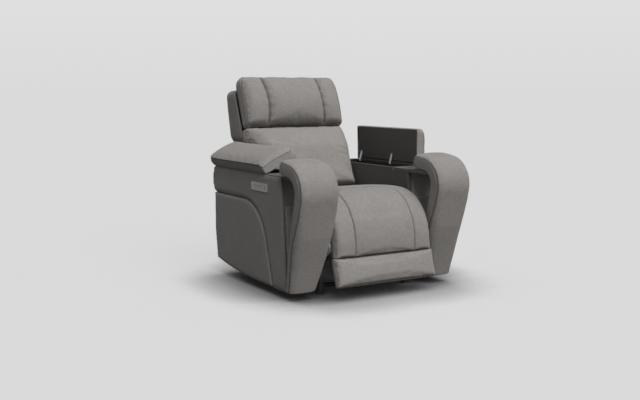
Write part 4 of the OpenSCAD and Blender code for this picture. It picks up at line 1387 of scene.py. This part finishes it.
@dataclass
class Arm(Assembly):
    """One arm: its facing, panels and tray.

    The facing runs up the leg, round a bend and into a short tail. Its cross section is
    told by places out from its middle and inwards from its line. `boxing` is how far the
    sewn line lies in front of that line, and `face_roll` how wide the face's edge is
    rolled, each low and high on the leg. `boxing_rise` is where they start to change and
    over what length. `stitch` is the depth and the width of the sewn line.
    """

    side: Side = Side.LEFT
    inner: float = 0.294
    half: float = 0.103
    foot: Pair = (-0.426, 0.040)
    lean: float = 13.7
    leg: float = 0.476
    bend: float = 0.096
    rise: float = 7.5
    tail: float = 0.096
    behind: float = 0.022
    rear_roll: float = 0.009
    ahead: float = 0.052
    taper: float = 0.047
    tuck: float = 0.014
    boxing: Pair = (0.009, 0.036)
    boxing_rise: Pair = (0.22, 0.22)
    face_roll: Pair = (0.046, 0.034)
    stitch: Pair = (0.0050, 0.0040)
    tip_roll: float = 0.034

    @property
    def arc(self) -> float:
        """Length of the facing's bend."""
        return math.radians(90 + self.lean - self.rise) * self.bend

    @property
    def length(self) -> float:
        """Length of the facing's line."""
        return self.leg + self.arc + self.tail

    @staticmethod
    def heading(angle: Array | float) -> Array:
        """Unit vectors that point at an angle in the side view."""
        return np.stack([np.cos(angle), np.sin(angle)], axis=-1)

    @staticmethod
    def quarter(wide: float, deep: float) -> Array:
        """A quarter of the cross section: a straight flank, a rolled corner and a slightly crowned face.

        Args:
            wide: Width of the roll as a share of the half width.
            deep: Depth of the face as a multiple of the flank's depth.

        Returns:
            Shares of the half width and of the flank's depth, from the flank's middle line to the face's.
        """
        turn = np.linspace(0, math.pi / 2, 13)
        flank = np.stack([np.ones(11), np.linspace(0, 1, 11)], axis=1)
        rolled = np.stack([1 - wide * (1 - np.cos(turn)), 1 + (deep - 1) * np.sin(turn)], axis=1)
        middle = np.linspace(1 - wide, 0, 8)
        brow = np.stack([middle, deep + 0.05 * deep * (1 - (middle / (1 - wide)) ** 2)], axis=1)
        return np.concatenate([flank, rolled[1:], brow[1:]])

    def facing_line(self, s: Array) -> tuple[Array, Array]:
        """The facing's middle line in the side view.

        Args:
            s: Distance along it from the foot.

        Returns:
            Its points, and its angles in radians.
        """
        right_angle = math.pi / 2
        start, end = math.radians(90 + self.lean), math.radians(self.rise)
        angle = start - np.clip(s - self.leg, 0, self.arc) / self.bend
        on_leg = self.foot + np.minimum(s, self.leg)[:, None] * self.heading(start)
        middle = self.foot + self.leg * self.heading(start) + self.bend * self.heading(start - right_angle)
        on_arc = middle + self.bend * self.heading(angle + right_angle)
        past = np.clip(s - self.leg - self.arc, 0, None)[:, None] * self.heading(end)
        return np.where((s < self.leg)[:, None], on_leg, on_arc + past), angle

    def section(self, s: float) -> tuple[Array, Array, Array]:
        """The facing's cross section, with its face, its side band and its rim.

        Args:
            s: Distance along the facing from its foot.

        Returns:
            Places out and inwards, places across the cloth, and 1 on the sewn line.
        """
        tip = float(roll(self.length - s, self.tip_roll))
        near = max(0.0, 1 - s / 0.300)
        up = min(1.0, max(0.0, (s - self.boxing_rise[0]) / self.boxing_rise[1]))
        a = self.half - (self.taper + self.tuck) / 2 * near**1.5
        middle = self.inner + self.half + (self.taper - self.tuck) / 2 * near**1.5
        ahead = self.ahead * (0.25 + 0.75 * tip) * (1 - 0.35 * near)
        sewn = (self.boxing[0] + (self.boxing[1] - self.boxing[0]) * ease(up)) * tip
        straight = (self.behind - self.rear_roll) * tip
        soft = self.face_roll[0] * (1 - up) + self.face_roll[1] * up
        front = self.quarter(soft / a, ahead / sewn) * [a, -sewn]
        back = self.quarter(self.rear_roll / a, 1.0 + self.rear_roll * tip / (straight + 1e-4)) * [a, straight]
        ring = np.concatenate([front, front[-2::-1] * [-1, 1], back[1:] * [-1, 1], back[-2:0:-1]])
        ring *= [0.86 + 0.14 * tip, 1]
        u, v = ring.T
        rear, flank = v > 0, np.abs(u) > a * 0.6
        past = float(np.clip((s - self.leg - 0.4 * self.arc) / (0.5 * self.arc), 0, 1))
        line = np.exp(-(((v + sewn) / self.stitch[1]) ** 2)) * flank * (1 - 0.75 * past)
        band = np.clip((v + sewn) / (self.behind * tip + sewn + 1e-6), 0, 1)
        lift = 0.0016 * np.sin(np.pi * band) * flank - self.stitch[0] * line
        lift += 0.0007 * math.sin(s / 0.013) * flank * np.exp(-(((v + sewn + 0.010) / 0.008) ** 2))
        u = u + np.sign(u) * lift
        v = v + 0.0010 * math.sin(s / 0.06) * ~flank
        return np.stack([middle + u, v], axis=1), np.where(rear, u, u + np.sign(u) * np.abs(v)), line

    def build_facing(self) -> None:
        """Makes the padded facing."""
        bent = self.leg + self.arc
        low, bend = np.linspace(0, self.leg, 58)[:-1], np.linspace(self.leg, bent, 34)[:-1]
        tail = bent + self.tail * (1 - (1 - np.linspace(0, 1, 22)) ** 2.2)
        stations = np.minimum(np.concatenate([low, bend, tail]), self.length - 0.0003)
        centre, angle = self.facing_line(stations)
        upright, flat_foot = math.pi / 2, 0.02
        turn = math.radians(self.lean) * stations / flat_foot
        angle = np.where(stations < flat_foot, upright + turn, angle)
        points, weave, seams = [], [], []
        for s, at, inward in zip(stations, centre, self.heading(angle - math.pi / 2)):
            ring, across, line = self.section(s)
            points.append(np.column_stack([ring[:, 0], at + ring[:, 1:] * inward]))
            weave.append(np.column_stack([across, np.full(len(across), s)]))
            seams.append(line)
        m, n = len(points), len(points[0])
        ids = np.arange(m * n).reshape(m, n)
        turned = np.roll(ids, -1, axis=1)
        faces = [quad for i in range(m - 1) for quad in zip(ids[i], ids[i + 1], turned[i + 1], turned[i])]
        faces += [*zip(ids[-1], [m * n] * n, turned[-1]), *zip(turned[0], [m * n + 1] * n, ids[0])]
        co = np.vstack([*points, points[-1].mean(axis=0), points[0].mean(axis=0)])
        co[:, 2] = np.maximum(co[:, 2], self.foot[1] + 0.0002)
        co[:, 0] *= self.side.value
        node = f"arm_facing_{self.side.word}"
        piece = make_object(f"{node}_cover", co, faces)
        face_outwards(piece)
        flat = np.vstack([*weave, [0, self.length], [0, 0]])
        set_field(piece, "weave", np.column_stack([flat, np.zeros(len(flat))]))
        # the facing's sewn line also carries painted shade along its groove
        set_field(piece, "seam", np.concatenate([*seams, [0, 0]]))
        self.subdivide(piece)
        self.enter(piece, "chair_base", (node,), 0.6)

    def build(self) -> None:
        """Makes the arm's pieces: facing, outer panels, front pad and tray."""
        word, sign, body = self.side.word, self.side.value, "chair_base"
        self.build_facing()
        self.cover(f"arm_band_{word}", body, 0.004, 6, Padding(sign, 0.012, 0.030, 0.0))
        self.cover(f"arm_rear_panel_{word}", body, 0.004, 6, Padding(sign, 0.011, 0.019, 0.003))
        # the front pad wears the lighter cloth, painted light in the shadowed recess
        self.cover(f"arm_front_pad_{word}", body, 0.0035, 9, finish=Finish.RECESS_CLOTH)
        self.cover(f"arm_tray_{word}", body, 0.003, 3, finish=Finish.TRAY_CLOTH)
        self.keep(f"arm_frame_{word}", Finish.ARM_LINING)


@dataclass
class Lid(Assembly):
    """One padded storage lid, which turns on pins along the arm's outer edge.

    Each roll is how far the top falls at one edge and over what width. `wrap` is how far
    the cover is drawn down below the pad, and how much less that is at the pins.
    """

    side: Side = Side.LEFT
    opening: float = 90.0
    hinge: Pair = (0.472, 0.615)
    outer: float = 0.488
    inner: float = 0.291
    front: float = -0.195
    rear: float = 0.430
    under: float = 0.6095
    thick: float = 0.046
    crown: float = 0.011
    nook: float = 0.036
    wrap: Pair = (-0.0116, 0.0039)
    pin_roll: Pair = (0.004, 0.009)
    inner_roll: Pair = (0.014, 0.030)
    front_roll: Pair = (0.027, 0.052)
    rear_roll: Pair = (0.014, 0.026)

    def build(self) -> None:
        """Makes the lid's padded top."""
        sign, nook = self.side.value, self.nook
        half = (self.outer - self.inner) / 2
        length = self.rear - self.front
        pin = np.array(self.hinge)
        c, s = math.cos(math.radians(self.opening)), math.sin(math.radians(self.opening))

        def place(x: Array, along: Array, height: Array) -> Array:
            """Points of the pad, rounded up from below at its rear and turned about its pins.

            Args:
                x: Places across.
                along: Distance from the front.
                height: Height over the pad's underside.

            Returns:
                The points.
            """
            boat = np.maximum(0, 0.020 - 0.62 * (length - along)) * np.maximum(0, 1 - height / 0.027)
            px, pz = self.inner + half + x - pin[0], self.under + height + boat - pin[1]
            return np.column_stack([sign * (pin[0] + px * c + pz * s), self.front + along, pin[1] - px * s + pz * c])

        def face(x: Array, along: Array) -> Array:
            """Height of the cover over the board.

            Args:
                x: Places across.
                along: Distance from the front.

            Returns:
                The height.
            """
            across, ahead = np.clip(nook - half - x, 0, None), np.clip(nook - along, 0, None)
            corner, reach = (across > 0) & (ahead > 0), np.hypot(across, ahead) + 1e-9

            def fall(edge: Pair, gap: Array) -> Array:
                """How far the top has fallen at a distance from one edge."""
                return edge[0] * (1 - roll(gap, edge[1]))

            near_inner, near_front = (np.where(corner, nook - reach, gap) for gap in (half + x, along))
            inner = fall(self.inner_roll, near_inner) * np.where(corner, across / reach, 1)
            front = fall(self.front_roll, near_front + 0.001) * np.where(corner, ahead / reach, 1)
            back = fall(self.rear_roll, length - along + 0.001)
            side = np.where(x > 0, fall(self.pin_roll, half - x), inner)
            body = self.thick + self.crown * (1 - np.abs(x / half) ** 2.4)
            return body - np.hypot(side, np.maximum(front, back)) + 0.0009 * wander(x, along, 0.08, 6.6 + sign)

        def wrap(x: Array, along: Array) -> Array:
            """How far the cover is drawn down over the board's edges, a little less at the pins."""
            return self.wrap[0] + self.wrap[1] * np.clip((x - half + 0.030) / 0.030, 0, 1)

        word = self.side.word
        pad = Pad(
            f"lid_pad_{word}_cover",
            graded(-half, half, 0.008),
            graded(0, length, 0.009),
            place,
            face,
            back=wrap,
            rows=8,
            bulge=lambda x, along: 0.003 * (x > half * 0.9),
            corner=(0.036, 0.014, 0.034, 0.034),
            back_corner=(0.017, 0.010, 0.012, 0.012),
            turned=0.009,
            # the welt darkens the cover's outer edge next to the pins: painted shade
            welt_and_painted_shade=lambda x, along: 0.02 + 0.68 * (x > half * 0.94) * (along < length - 0.03),
        )
        self.enter(self.sew(pad, cap=0.004, slack=0.010), f"lid_{word}", (f"lid_pad_{word}",), 0.6)


# ---------------------------------------------------------------- hard parts


@dataclass
class HardParts(Assembly):
    """Finishes for the frame, mechanism, board, plastic and trim that keep their CAD shape.

    Each group has a finish, the width of its broken edges in metres and its nodes.
    """

    groups: tuple[tuple[Finish, float, str], ...] = (
        (Finish.PLY, 0.0015, "seat_box back_frame footrest_board"),
        (Finish.BOARD, 0.001, "lid_board_left lid_board_right"),
        (Finish.PLASTIC, 0.0008, "storage_liner_left storage_liner_right floor_glides power_box"),
        (Finish.KEY, 0.0006, "button_recline button_return button_head_up button_head_down"),
        (Finish.SILVER, 0.0006, "control_plate"),
        (Finish.CUP, 0.0006, "cup_holder_left cup_holder_right"),
        (Finish.ZINC, 0.0005, "seat_springs back_springs arm_bolts footrest_brackets idler_arms upper_links"),
        (Finish.ZINC, 0.0005, "lower_links footrest_carriage recline_carriage headrest_rod"),
        (Finish.STAY, 0.0004, "lid_stays_left lid_stays_right"),
        (Finish.BLACK_STEEL, 0.0008, "side_plate_left side_plate_right base_frame drive_tube motor_tube"),
        (Finish.BLACK_STEEL, 0.0008, "headrest_hinge lid_hinges_left lid_hinges_right"),
        (Finish.BLACK_STEEL, 0.0008, "footrest_motor recline_motor headrest_motor"),
    )

    def build(self) -> None:
        """Dresses the CAD nodes and breaks their edges."""
        for finish, width, names in self.groups:
            for name in names.split():
                edge = self.keep(name, finish).modifiers.new("edge", "BEVEL")
                edge.width, edge.segments, edge.use_clamp_overlap = width, 2, True
                edge.limit_method, edge.angle_limit = "ANGLE", math.radians(32)


# ---------------------------------------------------------------- studio


@dataclass
class Studio:
    """The pale floor and background, the lamp and the camera."""

    pale: Colour = (0.70, 0.70, 0.70)
    eye: Triple = (-2.502, -4.072, 1.005)
    turn: Triple = (82.98, 0.0, -31.09)
    lens: float = 50.0
    key_from: Triple = (0.066, -0.643, 0.762)
    key: float = 2.95
    key_spread: float = 52.0
    fill: Colour = (0.27, 0.27, 0.27)
    # shade_at and shade_radii place the painted shadow on the floor behind the chair
    shade_at: Triple = (0.30, 0.50, 0.0)
    shade_radii: Pair = (0.25, 0.68)
    floor_reach: float = 60.0

    def build_camera(self) -> None:
        """Sets the camera where the photograph was taken from."""
        data = bpy.data.cameras.new("camera")
        data.lens, data.sensor_width, data.sensor_fit = self.lens, 36.0, "HORIZONTAL"
        camera = placed("camera", data)
        camera.location = self.eye
        camera.rotation_euler = [math.radians(a) for a in self.turn]
        bpy.context.scene.camera = camera

    @staticmethod
    def seen_directly(w: Wires) -> Socket:
        """Whether a ray comes from the camera, a mirror or glass.

        Args:
            w: The wires of the tree that asks.

        Returns:
            1 for such a ray, 0 for the light that surfaces send each other.
        """
        path = w.add("LightPath").outputs
        mirror = w.calc("MAXIMUM", path["Is Glossy Ray"], path["Is Transmission Ray"])
        return w.calc("MAXIMUM", path["Is Camera Ray"], mirror)

    def build_floor(self) -> None:
        """Makes a wide pale floor with painted shade under the chair and a painted shadow behind it, which sends
        little light back.
        """
        made, w, shader = start_material("pale_floor")
        direct = self.seen_directly(w)
        colour = w.mix(direct, (0.06, 0.06, 0.06), self.pale)
        w.feed(shader, {"Roughness": 0.9, "Specular IOR Level": 0.0, "Base Color": colour})
        # painted shade: the floor's glow darkens where the chair is near it, and more in a painted shadow around
        # shade_at
        sky = w.add("AmbientOcclusion", {"Distance": 0.5}, samples=8).outputs["AO"]
        under = w.calc("POWER", w.span(sky, 0.25, 0.88, 0.0, 1.0), 2.1)
        where = w.add("TexCoord").outputs["Object"]
        far = w.add("VectorMath", {0: where, 1: self.shade_at}, operation="DISTANCE").outputs["Value"]
        soft = w.calc("MULTIPLY", under, w.span(far, *self.shade_radii, 0.06, 1.0))
        glow = w.add("Emission", {"Color": w.mix(soft, (0.008, 0.008, 0.008), self.pale)}).outputs[0]
        share = w.calc("MULTIPLY", direct, 0.88)
        blend = w.add("MixShader", {0: share, 1: shader.outputs[0], 2: glow}).outputs[0]
        w.feed(made.node_tree.nodes["Material Output"], {"Surface": blend})
        corners = np.array([(-1, -1, 0), (1, -1, 0), (1, 1, 0), (-1, 1, 0)]) * self.floor_reach
        floor = make_object("floor", corners, [[0, 1, 2, 3]])
        floor.data.materials.append(made)

    def build_world(self) -> None:
        """Makes the even light from all round, and the pale background behind the chair."""
        world = bpy.data.worlds.new("studio")
        bpy.context.scene.world = world
        world.use_nodes = True
        w = Wires(world.node_tree)
        high = w.span(w.parts(w.add("TexCoord").outputs["Generated"])[2], 0.0, 0.12, 0.0, 1.0)
        back = w.mix(high, (0.702, 0.702, 0.702), (0.75, 0.75, 0.75))
        w.feed(world.node_tree.nodes["Background"], {"Color": w.mix(self.seen_directly(w), self.fill, back)})

    def build_key(self) -> None:
        """Adds the one soft lamp, high up in front of the chair."""
        data = bpy.data.lights.new("key", "SUN")
        data.energy, data.angle = self.key, math.radians(self.key_spread)
        placed("key", data).rotation_euler = Vector(self.key_from).to_track_quat("Z", "Y").to_euler()

    def build(self) -> None:
        """Makes the studio."""
        bpy.context.scene.view_settings.view_transform = "Standard"
        self.build_world()
        self.build_floor()
        self.build_key()
        self.build_camera()


# ---------------------------------------------------------------- the chair


def main() -> None:
    """Builds the chair and the studio."""
    logging.basicConfig(level=logging.INFO, format="%(name)s: %(message)s")
    wardrobe = Wardrobe()
    Seat(wardrobe).build()
    Back(wardrobe).build()
    for side in Side:
        Arm(wardrobe, side=side).build()
        Lid(wardrobe, side=side, opening=90.0 if side is Side.LEFT else 25.0).build()
    HardParts(wardrobe).build()
    Studio().build()


if __name__ == "__main__":
    main()
